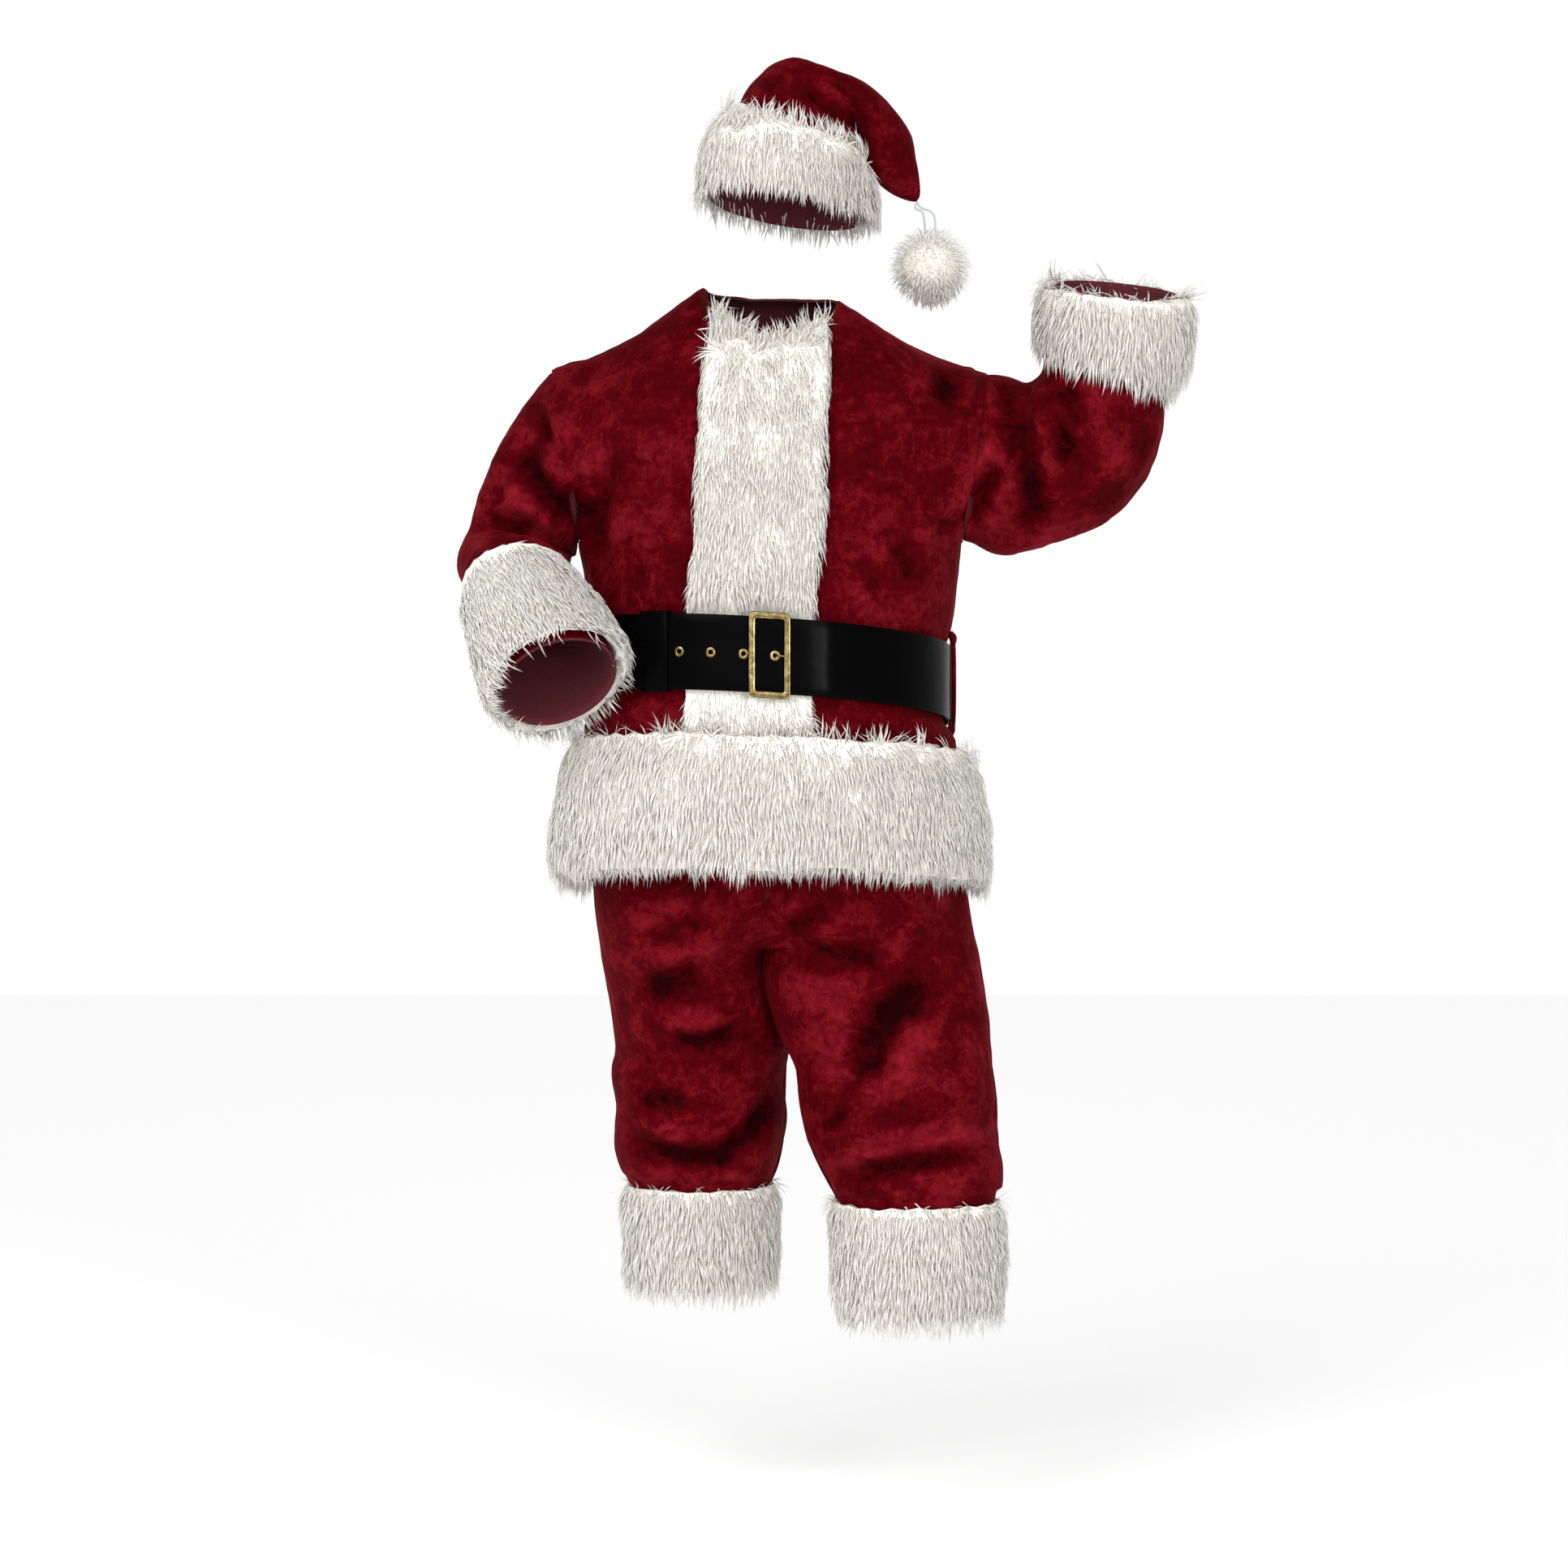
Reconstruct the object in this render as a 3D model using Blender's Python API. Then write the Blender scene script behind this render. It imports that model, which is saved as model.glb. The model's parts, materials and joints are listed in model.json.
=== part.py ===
# Santa suit as it is worn: plush jacket with fur trim, belt with a brass buckle,
# plush trousers with fur cuffs, and a hat with a fur band and a pompom.
# Metres, +Z up, the front faces -Y.  The tables give heights above the wearer's floor.
import math
from collections import namedtuple

import bmesh
import bpy
from mathutils import Vector

# Driving dimensions.
MOUNT_HEIGHT = 1.55        # base of the neck, where the wearer carries the suit: the origin
CLOTH = 0.003              # plush and its backing
SEAM = 0.0004              # gap between two sewn pieces
LAP = 0.0004               # gap between a panel and what lies on it
ROUNDNESS = 2.25           # exponent of a body section

PLACKET_HALF = 0.084       # half width of the fur down the front
PLACKET_COLUMNS = 3        # columns from the opening to the edge of that fur
NECK_COLUMNS = 4           # columns from the opening to the neck point
FRONT_COLUMNS = 11         # columns from the opening to the side
UPPER_ROWS = 10            # rows from underarm to shoulder seam
SLEEVE_COLUMNS = 2 * UPPER_ROWS
LEG_COLUMNS = 10           # columns of one leg panel, outseam to inseam
HAT_COLUMNS = 20

BELT_MIDDLE_ROW = 6        # row of the jacket table at the belt's middle
BELT_HEIGHT = 0.098
BELT_THICK = 0.0034
BELT_STANDOFF = 0.0030     # room for the keeper behind the strap
BELT_LIFT = 0.0055         # how far the placket fur holds the belt off the cloth
WAIST_NUDGE = 0.01         # radians each side, for the direction along the waist
LAYER_STEP = 0.0048        # one turn of the strap lies this far outside the other
STRAP_START_X = -0.0045    # buckle end of the strap, beside the buckle's centre bar
STRAP_OVERLAP = 0.232      # free end past the pinned eyelet
TIP_LENGTH = 0.058
EYELETS = (0, 1, 2, 3, 5)  # places, counted from the pinned one; the keeper covers the rest
EYELET_X = 0.0075          # the eyelet that the prong is through
EYELET_SPACING = 0.042
EYELET_HOLE = 0.0036       # radius in the strap
EYELET_STEPS = 10
EYELET_FLANGE = 0.0067     # outer radius of the brass
# Radius and lift of an eyelet's section, from the strap's outer face.
EYELET_SECTION = (
    (0.0023, -0.0028), (0.0032, -0.0028), (0.0032, 0.0004),
    (EYELET_FLANGE, 0.0004), (0.0056, 0.0014), (0.0030, 0.0014),
)
FRAME_REACH = 0.05         # radians each side over which a fitting lies flat on the strap
BUCKLE_WIDTH = 0.054
BUCKLE_HEIGHT = 0.110
BUCKLE_BAR = 0.0088        # width of the frame's bars
BUCKLE_THICK = 0.0034
BUCKLE_ROUND = 0.007       # outer corner radius
BUCKLE_CLEAR = 0.0010      # over the strap at its middle
BUCKLE_EDGE = 0.0012       # broken edges of the bars
INNER_ROUND = 0.35         # inner corner radius over the outer
BAR_RADIUS = 0.0014
BAR_SIDES = 8
BAR_SINK = 0.0008          # the centre bar stands this far into the room behind the strap
BAR_RISE = 0.0016          # and turns up this far past the strap's edges
PIN_OFFSET = 0.0080        # from the centre bar to the eyelet that the prong is through
PRONG_RADIUS = 0.0011
PRONG_GAP = 0.0004         # between the prong and the bars
PRONG_END = 0.0034         # short of the frame's outer edge
BELT_EASE = 0.075          # the belt comes down to the cloth over this, beside the placket
KEEPER_START = 0.1420      # along the strap from the pinned eyelet
KEEPER_WIDTH = 0.042
KEEPER_THICK = 0.0018
KEEPER_ROOM = 0.0024       # over the strap, for the eyelet under it
KEEPER_GAP = 0.0004        # behind the lower layer
KEEPER_RISE = 0.0010       # past the strap's edges
KEEPER_STEPS = 3
CARRIER_WIDTH = 0.022      # cloth loops at the sides that the belt goes through
CARRIER_THICK = 0.0024
CARRIER_GAP = 0.0008       # over the strap
CARRIER_SEWN = 0.0016      # off the jacket where its ends are sewn
# Levels of its rows: 1 is the belt's edge; the ends are sewn to the jacket.
CARRIER_END = 1.55
CARRIER_BEND = 1.16

POMPOM_RADIUS = 0.0535
POMPOM_CORE = 0.036
LOCK_BARE = 0.80           # locks stand off the crown of the pompom, where the loop is sewn
LOOP_RADIUS = 0.0016
LOOP_CLEAR = 0.0008        # between the loop's ends and what they are sewn to
# Sideways, forward and upward places of the loop's two strands: near the pompom, near the tip.
LOOP_LEFT = ((-0.0060, 0.0, 0.0), (-0.0075, -0.001, 0.016), (-0.0100, -0.001, 0.030))
LOOP_LEFT_TOP = (-0.0030, 0.0, -0.010)
LOOP_RIGHT_TOP = (0.0042, 0.001, -0.009)
LOOP_RIGHT = ((0.0030, 0.001, 0.030), (0.0070, 0.001, 0.015), (0.0060, 0.0, 0.0))

RED = (0.23, 0.008, 0.018, 1.0)
FUR = (0.82, 0.79, 0.74, 1.0)
BLACK = (0.006, 0.006, 0.007, 1.0)
BRASS = (0.55, 0.38, 0.14, 1.0)
CORD = (0.55, 0.60, 0.66, 1.0)

Knot = namedtuple("Knot", "x y z")

# Jacket body, hem to underarm.  The tilts raise a section with x and with y.
Body = namedtuple("Body", "height centre half front back tilt_x tilt_y opening")
BODY = [
    Body(0.836, -0.001, 0.270, 0.226, 0.202, -0.020, -0.105, -0.026),
    Body(0.900, -0.001, 0.268, 0.224, 0.200, -0.022, -0.108, -0.027),
    Body(0.960, 0.000, 0.260, 0.219, 0.195, -0.026, -0.110, -0.028),
    Body(1.015, 0.000, 0.250, 0.213, 0.189, -0.036, -0.113, -0.028),
    Body(1.040, -0.001, 0.240, 0.209, 0.184, -0.052, -0.117, -0.028),
    Body(1.059, -0.002, 0.230, 0.205, 0.178, -0.066, -0.120, -0.028),
    Body(1.108, -0.002, 0.226, 0.203, 0.175, -0.069, -0.120, -0.028),
    Body(1.157, -0.002, 0.230, 0.205, 0.177, -0.066, -0.116, -0.028),
    Body(1.182, -0.001, 0.240, 0.209, 0.182, -0.052, -0.098, -0.026),
    Body(1.228, 0.000, 0.246, 0.205, 0.183, -0.026, -0.050, -0.021),
    Body(1.283, 0.000, 0.253, 0.194, 0.180, 0.000, 0.000, -0.014),
]
BELT_LOW_ROW = 5
BELT_HIGH_ROW = 7
HEM_TOP_ROW = 3

# Jacket top edge: the neckline and the shoulder seams, at the same columns as the body.
CHEST_HALF = 0.300
CHEST_FRONT = 0.186
CHEST_BACK = 0.172
OPENING_TOP = -0.004
NECK_FRONT = Vector((-0.004, -0.098, 1.536))
NECK_BACK = Vector((0.0, 0.082, 1.612))
NECK_POINT = {-1: Vector((-0.086, 0.012, 1.618)), 1: Vector((0.088, 0.012, 1.602))}
SHOULDER = {-1: Vector((-0.285, 0.014, 1.508)), 1: Vector((0.285, 0.014, 1.506))}
ARMHOLE_CUT = 62.0         # degrees, how far round the chest section a panel reaches
ARMHOLE_FRONT = 0.098
ARMHOLE_BACK = 0.094

# Sleeves: each section runs from a point on the outer or top line to one on the under line.
Sleeve = namedtuple("Sleeve", "ax ay ah bx by bh deep")
LEFT_SLEEVE = [
    Sleeve(-0.308, 0.026, 1.482, -0.268, -0.004, 1.262, 0.098),
    Sleeve(-0.331, 0.044, 1.432, -0.284, -0.022, 1.264, 0.090),
    Sleeve(-0.353, 0.062, 1.376, -0.292, -0.040, 1.270, 0.082),
    Sleeve(-0.368, 0.076, 1.318, -0.294, -0.060, 1.276, 0.076),
    Sleeve(-0.376, 0.078, 1.262, -0.296, -0.080, 1.281, 0.072),
    Sleeve(-0.380, 0.056, 1.214, -0.298, -0.100, 1.285, 0.070),
    Sleeve(-0.372, 0.004, 1.190, -0.302, -0.122, 1.284, 0.069),
    Sleeve(-0.357, -0.064, 1.183, -0.303, -0.148, 1.276, 0.068),
    Sleeve(-0.343, -0.092, 1.148, -0.292, -0.180, 1.247, 0.071),
    Sleeve(-0.328, -0.120, 1.112, -0.274, -0.212, 1.216, 0.074),
    Sleeve(-0.312, -0.148, 1.077, -0.257, -0.244, 1.185, 0.077),
    Sleeve(-0.297, -0.177, 1.041, -0.242, -0.276, 1.155, 0.080),
]
RIGHT_SLEEVE = [
    Sleeve(0.311, 0.010, 1.503, 0.296, 0.002, 1.268, 0.106),
    Sleeve(0.331, 0.004, 1.499, 0.345, -0.002, 1.266, 0.109),
    Sleeve(0.342, -0.002, 1.498, 0.402, -0.008, 1.286, 0.111),
    Sleeve(0.348, -0.007, 1.501, 0.456, -0.014, 1.320, 0.110),
    Sleeve(0.352, -0.012, 1.507, 0.498, -0.020, 1.364, 0.107),
    Sleeve(0.355, -0.016, 1.515, 0.514, -0.026, 1.408, 0.103),
    Sleeve(0.358, -0.020, 1.525, 0.519, -0.031, 1.444, 0.098),
    Sleeve(0.361, -0.024, 1.538, 0.522, -0.036, 1.478, 0.093),
    Sleeve(0.364, -0.029, 1.556, 0.529, -0.041, 1.510, 0.089),
    Sleeve(0.366, -0.034, 1.578, 0.535, -0.046, 1.542, 0.088),
    Sleeve(0.368, -0.039, 1.600, 0.537, -0.051, 1.572, 0.088),
    Sleeve(0.370, -0.044, 1.620, 0.536, -0.056, 1.602, 0.088),
]
SLEEVE_CUFF_ROWS = 4       # cells of the sleeve that the fur cuff lies on
SLEEVE_MARGIN = 0.007      # a lowered sleeve lies this far off the body
CUFF_MARGIN = 0.036        # and this far under its fur, with the belt between

# Trousers: side points, half depths and the front-back shift of each leg, hem to crotch.
Leg = namedtuple("Leg", "height outer inner shift deep")
LEFT_LEG = [
    Leg(0.300, -0.176, -0.012, 0.066, 0.083),
    Leg(0.360, -0.178, -0.010, 0.064, 0.086),
    Leg(0.415, -0.184, -0.004, 0.060, 0.090),
    Leg(0.446, -0.203, 0.010, 0.058, 0.104),
    Leg(0.492, -0.210, 0.019, 0.054, 0.109),
    Leg(0.535, -0.207, 0.020, 0.050, 0.110),
    Leg(0.574, -0.213, 0.021, 0.045, 0.114),
    Leg(0.607, -0.206, 0.021, 0.040, 0.115),
    Leg(0.650, -0.213, 0.007, 0.032, 0.121),
    Leg(0.700, -0.220, -0.008, 0.020, 0.130),
]
RIGHT_LEG = [
    Leg(0.282, 0.284, 0.106, -0.076, 0.088),
    Leg(0.345, 0.288, 0.100, -0.074, 0.091),
    Leg(0.405, 0.291, 0.092, -0.071, 0.095),
    Leg(0.444, 0.300, 0.072, -0.068, 0.108),
    Leg(0.486, 0.297, 0.051, -0.063, 0.112),
    Leg(0.530, 0.299, 0.040, -0.057, 0.113),
    Leg(0.570, 0.296, 0.034, -0.050, 0.117),
    Leg(0.607, 0.290, 0.029, -0.043, 0.119),
    Leg(0.650, 0.286, 0.014, -0.032, 0.125),
    Leg(0.700, 0.281, -0.001, -0.018, 0.133),
]
LEG_CUFF_ROWS = 3

# Seat of the trousers, crotch to waist.
Seat = namedtuple("Seat", "side_height seam_height left right seam seam_front seam_back turn deep")
SEAT = [
    Seat(0.745, 0.742, -0.227, 0.270, -0.013, 0.000, 0.000, 180.0, 0.142),
    Seat(0.776, 0.748, -0.232, 0.265, -0.011, -0.062, 0.060, 157.0, 0.152),
    Seat(0.808, 0.768, -0.236, 0.259, -0.009, -0.118, 0.112, 137.0, 0.162),
    Seat(0.850, 0.812, -0.237, 0.252, -0.006, -0.162, 0.152, 118.0, 0.171),
    Seat(0.925, 0.900, -0.222, 0.230, -0.002, -0.180, 0.164, 100.0, 0.171),
    Seat(1.010, 1.008, -0.190, 0.192, 0.000, -0.168, 0.146, 91.0, 0.158),
    Seat(1.046, 1.046, -0.180, 0.182, 0.000, -0.158, 0.138, 90.0, 0.150),
]

# Hat: each section from a point on the left or outer line to one on the right or inner line.
HAT = [
    Sleeve(-0.086, 0.012, 1.742, 0.124, 0.012, 1.708, 0.112),
    Sleeve(-0.082, 0.012, 1.778, 0.122, 0.012, 1.734, 0.110),
    Sleeve(-0.068, 0.012, 1.822, 0.117, 0.012, 1.760, 0.104),
    Sleeve(-0.046, 0.012, 1.860, 0.110, 0.012, 1.783, 0.094),
    Sleeve(-0.024, 0.013, 1.893, 0.103, 0.014, 1.805, 0.084),
    Sleeve(0.000, 0.014, 1.917, 0.099, 0.016, 1.826, 0.074),
    Sleeve(0.030, 0.015, 1.929, 0.101, 0.018, 1.841, 0.066),
    Sleeve(0.074, 0.016, 1.909, 0.108, 0.020, 1.846, 0.058),
    Sleeve(0.110, 0.018, 1.890, 0.117, 0.022, 1.841, 0.051),
    Sleeve(0.143, 0.020, 1.867, 0.127, 0.025, 1.830, 0.046),
    Sleeve(0.170, 0.022, 1.838, 0.137, 0.027, 1.812, 0.042),
    Sleeve(0.186, 0.024, 1.808, 0.146, 0.028, 1.790, 0.037),
    Sleeve(0.196, 0.025, 1.778, 0.154, 0.029, 1.768, 0.029),
    Sleeve(0.202, 0.026, 1.752, 0.170, 0.029, 1.749, 0.016),
]
HAT_BAND_ROWS = 3
TAIL_TIP = Vector((0.194, 0.028, 1.7385))
POMPOM_CENTRE = Vector((0.211, 0.026, 1.6570))

# The largest folds: place, run and width in the panel's own columns and rows, depth in metres.
Fold = namedtuple("Fold", "column row angle length width depth")
LEFT_SLEEVE_FOLDS = [
    Fold(3.5, 1.6, 28.0, 3.4, 0.62, -0.010),
    Fold(2.5, 3.0, 22.0, 3.8, 0.60, 0.008),
    Fold(4.0, 4.4, 12.0, 3.6, 0.58, -0.010),
    Fold(16.5, 4.8, -14.0, 3.4, 0.62, -0.009),
    Fold(4.8, 6.0, 4.0, 3.4, 0.60, 0.007),
    Fold(15.5, 6.6, 8.0, 3.6, 0.60, 0.007),
    Fold(15.5, 2.6, -24.0, 3.4, 0.70, -0.008),
]
RIGHT_SLEEVE_FOLDS = [
    Fold(5.5, 0.9, 6.0, 3.6, 0.55, -0.008),
    Fold(4.5, 2.2, 10.0, 3.2, 0.55, 0.007),
    Fold(4.2, 3.4, 16.0, 3.8, 0.60, -0.011),
    Fold(5.6, 4.6, 8.0, 3.2, 0.60, 0.008),
    Fold(4.2, 5.8, 12.0, 3.4, 0.60, -0.009),
    Fold(15.0, 2.0, -12.0, 4.0, 0.60, -0.009),
    Fold(15.6, 4.4, -12.0, 3.6, 0.62, -0.009),
    Fold(14.6, 5.8, -6.0, 3.6, 0.62, 0.007),
]
LEFT_LEG_FOLDS = [
    Fold(5.4, 6.6, 4.0, 3.6, 0.52, -0.011),
    Fold(3.6, 8.9, 12.0, 3.0, 0.60, -0.008),
    Fold(7.0, 4.9, 42.0, 2.6, 0.60, -0.010),
    Fold(2.6, 5.6, 6.0, 2.4, 0.60, 0.008),
    Fold(4.6, 3.8, -4.0, 3.4, 0.55, 0.007),
    Fold(6.6, 11.2, 60.0, 2.6, 0.70, -0.007),
    Fold(14.0, 6.2, 6.0, 4.2, 0.60, -0.010),
    Fold(15.4, 8.6, -10.0, 3.6, 0.62, 0.008),
    Fold(13.4, 4.6, -6.0, 3.8, 0.55, -0.008),
]
RIGHT_LEG_FOLDS = [
    Fold(5.0, 7.8, -36.0, 3.4, 0.60, -0.012),
    Fold(4.6, 5.3, -14.0, 3.8, 0.55, 0.009),
    Fold(4.4, 4.4, -12.0, 4.0, 0.50, -0.010),
    Fold(3.2, 3.8, 6.0, 3.2, 0.50, 0.008),
    Fold(6.8, 9.6, -44.0, 3.0, 0.70, 0.007),
    Fold(13.8, 5.6, 8.0, 4.0, 0.58, -0.010),
    Fold(15.0, 7.8, 14.0, 3.6, 0.62, 0.008),
    Fold(14.4, 4.4, -4.0, 3.8, 0.50, -0.008),
]
HAT_FOLDS = [
    Fold(6.5, 7.0, 60.0, 2.6, 0.80, -0.008),
    Fold(3.5, 5.0, 20.0, 2.4, 0.80, -0.005),
    Fold(14.0, 6.6, -50.0, 3.0, 0.80, -0.006),
    Fold(5.0, 10.0, 80.0, 2.4, 0.80, 0.003),
]
FRONT_FOLDS = [
    Fold(7.6, 13.6, 76.0, 3.6, 0.70, -0.007),
    Fold(9.4, 11.8, 66.0, 3.2, 0.70, -0.007),
    Fold(6.0, 9.2, 84.0, 1.8, 0.50, -0.005),
    Fold(8.4, 8.9, 90.0, 1.6, 0.50, -0.006),
    Fold(10.0, 9.2, 96.0, 1.6, 0.50, -0.005),
    Fold(7.6, 4.0, 90.0, 0.9, 0.50, -0.005),
]
BACK_FOLDS = [
    Fold(4.0, 9.2, 90.0, 1.8, 0.55, -0.006),
    Fold(7.5, 9.0, 90.0, 1.6, 0.50, -0.006),
    Fold(11.0, 9.4, 90.0, 2.0, 0.60, -0.007),
    Fold(14.6, 9.0, 90.0, 1.6, 0.50, -0.006),
    Fold(18.0, 9.2, 90.0, 1.8, 0.55, -0.006),
    Fold(5.6, 13.6, 106.0, 3.4, 0.80, -0.007),
    Fold(16.4, 13.6, 74.0, 3.4, 0.80, -0.007),
]


# ---------------------------------------------------------------- helpers

def material(name, colour, roughness, metallic=0.0):
    made = bpy.data.materials.new(name)
    made.use_nodes = True
    shader = made.node_tree.nodes["Principled BSDF"]
    shader.inputs["Base Color"].default_value = colour
    shader.inputs["Roughness"].default_value = roughness
    shader.inputs["Metallic"].default_value = metallic
    made.diffuse_color = colour
    return made


def world(point):
    return Vector((point.x, point.y, point.z - MOUNT_HEIGHT))


def blend(rows, at):
    # Catmull-Rom between the rows of a table.
    last = len(rows) - 1
    base = min(int(at), last - 1)
    part = at - base
    before = rows[max(base - 1, 0)]
    low = rows[base]
    high = rows[base + 1]
    after = rows[min(base + 2, last)]
    values = []
    for p0, p1, p2, p3 in zip(before, low, high, after):
        curve = 2.0 * p1 + (p2 - p0) * part
        curve += (2.0 * p0 - 5.0 * p1 + 4.0 * p2 - p3) * part ** 2
        curve += (3.0 * p1 - p0 - 3.0 * p2 + p3) * part ** 3
        values.append(0.5 * curve)
    return type(low)(*values)


def signed_power(value, power):
    return math.copysign(abs(value) ** power, value)


def wobble(column, row, seed=0.0):
    # A smooth repeatable value from -1 to 1 for each grid point.
    first = math.sin(2.31 * column + 1.7 * row + seed)
    second = math.sin(0.97 * column - 2.9 * row + 2.3 * seed)
    third = math.sin(5.23 * column + 0.61 * row - seed)
    return (first + second + third) / 3.0


class Sheet:
    # A grid of points on the outer side of the cloth, rows by columns.
    def __init__(self, points, closed=False):
        self.points = points
        self.closed = closed
        self.normals = None
        self.mouth = None          # outward axis of the hole that the first row is sewn into

    @property
    def rows(self):
        return len(self.points)

    @property
    def columns(self):
        return len(self.points[0])

    def wrap(self, column):
        return column % self.columns if self.closed else column

    def at(self, row, column):
        row = max(0, min(self.rows - 1, row))
        if not self.closed:
            column = max(0, min(self.columns - 1, column))
        return self.points[row][self.wrap(column)]

    def cells(self):
        across = self.columns if self.closed else self.columns - 1
        for row in range(self.rows - 1):
            for column in range(across):
                yield row, column, self.wrap(column + 1)

    def fold(self, folds, mirrored=False, fixed_rows=(0, 0)):
        # Moves the points along their normals by the troughs and ridges of a table.
        share_normals([self])
        for row in range(fixed_rows[0], self.rows - fixed_rows[1]):
            for column in range(self.columns):
                depth = sum(fold_depth(self, each, column, row, mirrored) for each in folds)
                self.points[row][column] += self.normals[row][column] * depth


def fold_shape(fold, across, along):
    turn = math.radians(fold.angle)
    run = across * math.cos(turn) + along * math.sin(turn)
    side = -across * math.sin(turn) + along * math.cos(turn)
    return fold.depth * math.exp(-(run / fold.length) ** 4 - (side / fold.width) ** 2)


def fold_depth(sheet, fold, column, row, mirrored):
    across = (-column if mirrored else column) - fold.column
    if sheet.closed:
        half = sheet.columns / 2.0
        across = (across + half) % sheet.columns - half
    return fold_shape(fold, across, row - fold.row)


def point_key(point):
    return (round(point.x, 5), round(point.y, 5), round(point.z, 5))


def share_normals(sheets):
    # Points that coincide, in one sheet or in two sewn together, get one normal.
    sums = {}
    for sheet in sheets:
        for row, left, right in sheet.cells():
            a = sheet.points[row][left]
            b = sheet.points[row][right]
            c = sheet.points[row + 1][right]
            d = sheet.points[row + 1][left]
            normal = (c - a).cross(d - b)
            for corner in (a, b, c, d):
                key = point_key(corner)
                sums[key] = sums.get(key, Vector()) + normal
    for sheet in sheets:
        sheet.normals = [
            [sums[point_key(point)].normalized() for point in line] for line in sheet.points
        ]


def seam_retreat(sheet, row, column, row_step, column_step):
    # Direction square to a seam and to the cloth's normal, into the piece.
    if row_step:
        along = sheet.at(row, column + 1) - sheet.at(row, column - 1)
    else:
        along = sheet.at(row + 1, column) - sheet.at(row - 1, column)
    inward = sheet.at(row + row_step, column + column_step) - sheet.at(row, column)
    square = sheet.normals[row][column].cross(along).normalized()
    return square if square.dot(inward) > 0.0 else -square


def panel(name, sheet, look, columns=None, rows=None, inner=None, outer=None, sewn=""):
    # A closed wall over part of a sheet.  inner and outer give each face's distance
    # from the sheet at a row and a column.  sewn names the edges that stop short of a seam.
    first_row, last_row = rows or (0, sheet.rows - 1)
    ring = sheet.closed and columns is None
    first, last = columns or (0, sheet.columns - (0 if ring else 1))
    inner = inner or (lambda row, column: -CLOTH)
    outer = outer or (lambda row, column: 0.0)
    built = bmesh.new()
    faces = []
    count = last - first + (0 if ring else 1)

    def place(row, index, depth):
        column = sheet.wrap(first + index)
        point = sheet.points[row][column].copy()
        shift = Vector()
        if not ring and index == 0 and "l" in sewn:
            shift += seam_retreat(sheet, row, column, 0, 1)
        if not ring and index == count - 1 and "r" in sewn:
            shift += seam_retreat(sheet, row, column, 0, -1)
        if row == first_row and "b" in sewn:
            shift += 2.0 * sheet.mouth if sheet.mouth else seam_retreat(sheet, row, column, 1, 0)
        if row == last_row and "t" in sewn:
            shift += seam_retreat(sheet, row, column, -1, 0)
        move = depth(row, column)
        if isinstance(move, tuple):
            move, reach = move
            step = 1 if row == first_row else -1
            point -= (sheet.points[row + step][column] - point).normalized() * reach
        point += sheet.normals[row][column] * move + shift * (SEAM / 2.0)
        return built.verts.new(world(point))

    for depth in (outer, inner):
        faces.append([
            [place(row, index, depth) for index in range(count)]
            for row in range(first_row, last_row + 1)
        ])
    high, low = faces
    height = last_row - first_row
    across = count if ring else count - 1

    def triangles(a, b, c, d):
        built.faces.new((a, b, c))
        built.faces.new((a, c, d))

    for row in range(height):
        for index in range(across):
            after = (index + 1) % count
            corners = (high[row][index], high[row][after], high[row + 1][after], high[row + 1][index])
            triangles(*corners)
            under = (low[row][after], low[row][index], low[row + 1][index], low[row + 1][after])
            built.faces.new((under[0], under[1], under[3]))
            built.faces.new((under[1], under[2], under[3]))
    for index in range(across):
        after = (index + 1) % count
        triangles(low[0][index], low[0][after], high[0][after], high[0][index])
        triangles(high[height][index], high[height][after], low[height][after], low[height][index])
    if not ring:
        for row in range(height):
            triangles(low[row + 1][0], low[row][0], high[row][0], high[row + 1][0])
            end = count - 1
            triangles(low[row][end], low[row + 1][end], high[row + 1][end], high[row][end])
    return finish(name, built, look)


def finish(name, built, look):
    bmesh.ops.recalc_face_normals(built, faces=built.faces[:])
    mesh = bpy.data.meshes.new(name)
    built.to_mesh(mesh)
    built.free()
    made = bpy.data.objects.new(name, mesh)
    mesh.materials.append(look)
    mesh.shade_smooth()
    mesh.set_sharp_from_angle(angle=math.radians(50.0))
    suit.objects.link(made)
    return made


def fur(base_rows, piles, overhang, seed, ends="bt"):
    # Outer side of a fur band: pile height for each of its rows, uneven tips at its free ends.
    first_row, last_row = base_rows

    def depth(row, column):
        lift = piles[row - first_row] * (1.0 + 0.10 * wobble(column, row, seed)) + LAP
        tips = overhang * (1.0 + 0.45 * wobble(2.3 * column, 1.0, seed))
        if row == first_row and "b" in ends or row == last_row and "t" in ends:
            return lift, tips
        return lift

    return depth


def flat_lap(row, column):
    return LAP


# ---------------------------------------------------------------- jacket

def body_angle(section, x):
    # Angle round a section, from the front, at which its outline passes x.
    ratio = max(-1.0, min(1.0, (x - section.centre) / section.half))
    return math.asin(signed_power(ratio, ROUNDNESS / 2.0))


def body_point(section, angle, back=False):
    depth = section.back if back else -section.front
    x = section.centre + section.half * signed_power(math.sin(angle), 2.0 / ROUNDNESS)
    y = depth * signed_power(math.cos(angle), 2.0 / ROUNDNESS)
    return Vector((x, y, section.height + section.tilt_x * x + section.tilt_y * y))


def column_angles(section, side, limit):
    start = body_angle(section, section.opening)
    edge = body_angle(section, section.opening + side * PLACKET_HALF)
    angles = []
    for column in range(FRONT_COLUMNS + 1):
        if column <= PLACKET_COLUMNS:
            angles.append(start + (edge - start) * column / PLACKET_COLUMNS)
        else:
            part = (column - PLACKET_COLUMNS) / (FRONT_COLUMNS - PLACKET_COLUMNS)
            angles.append(edge + (side * limit - edge) * part)
    return angles


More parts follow.
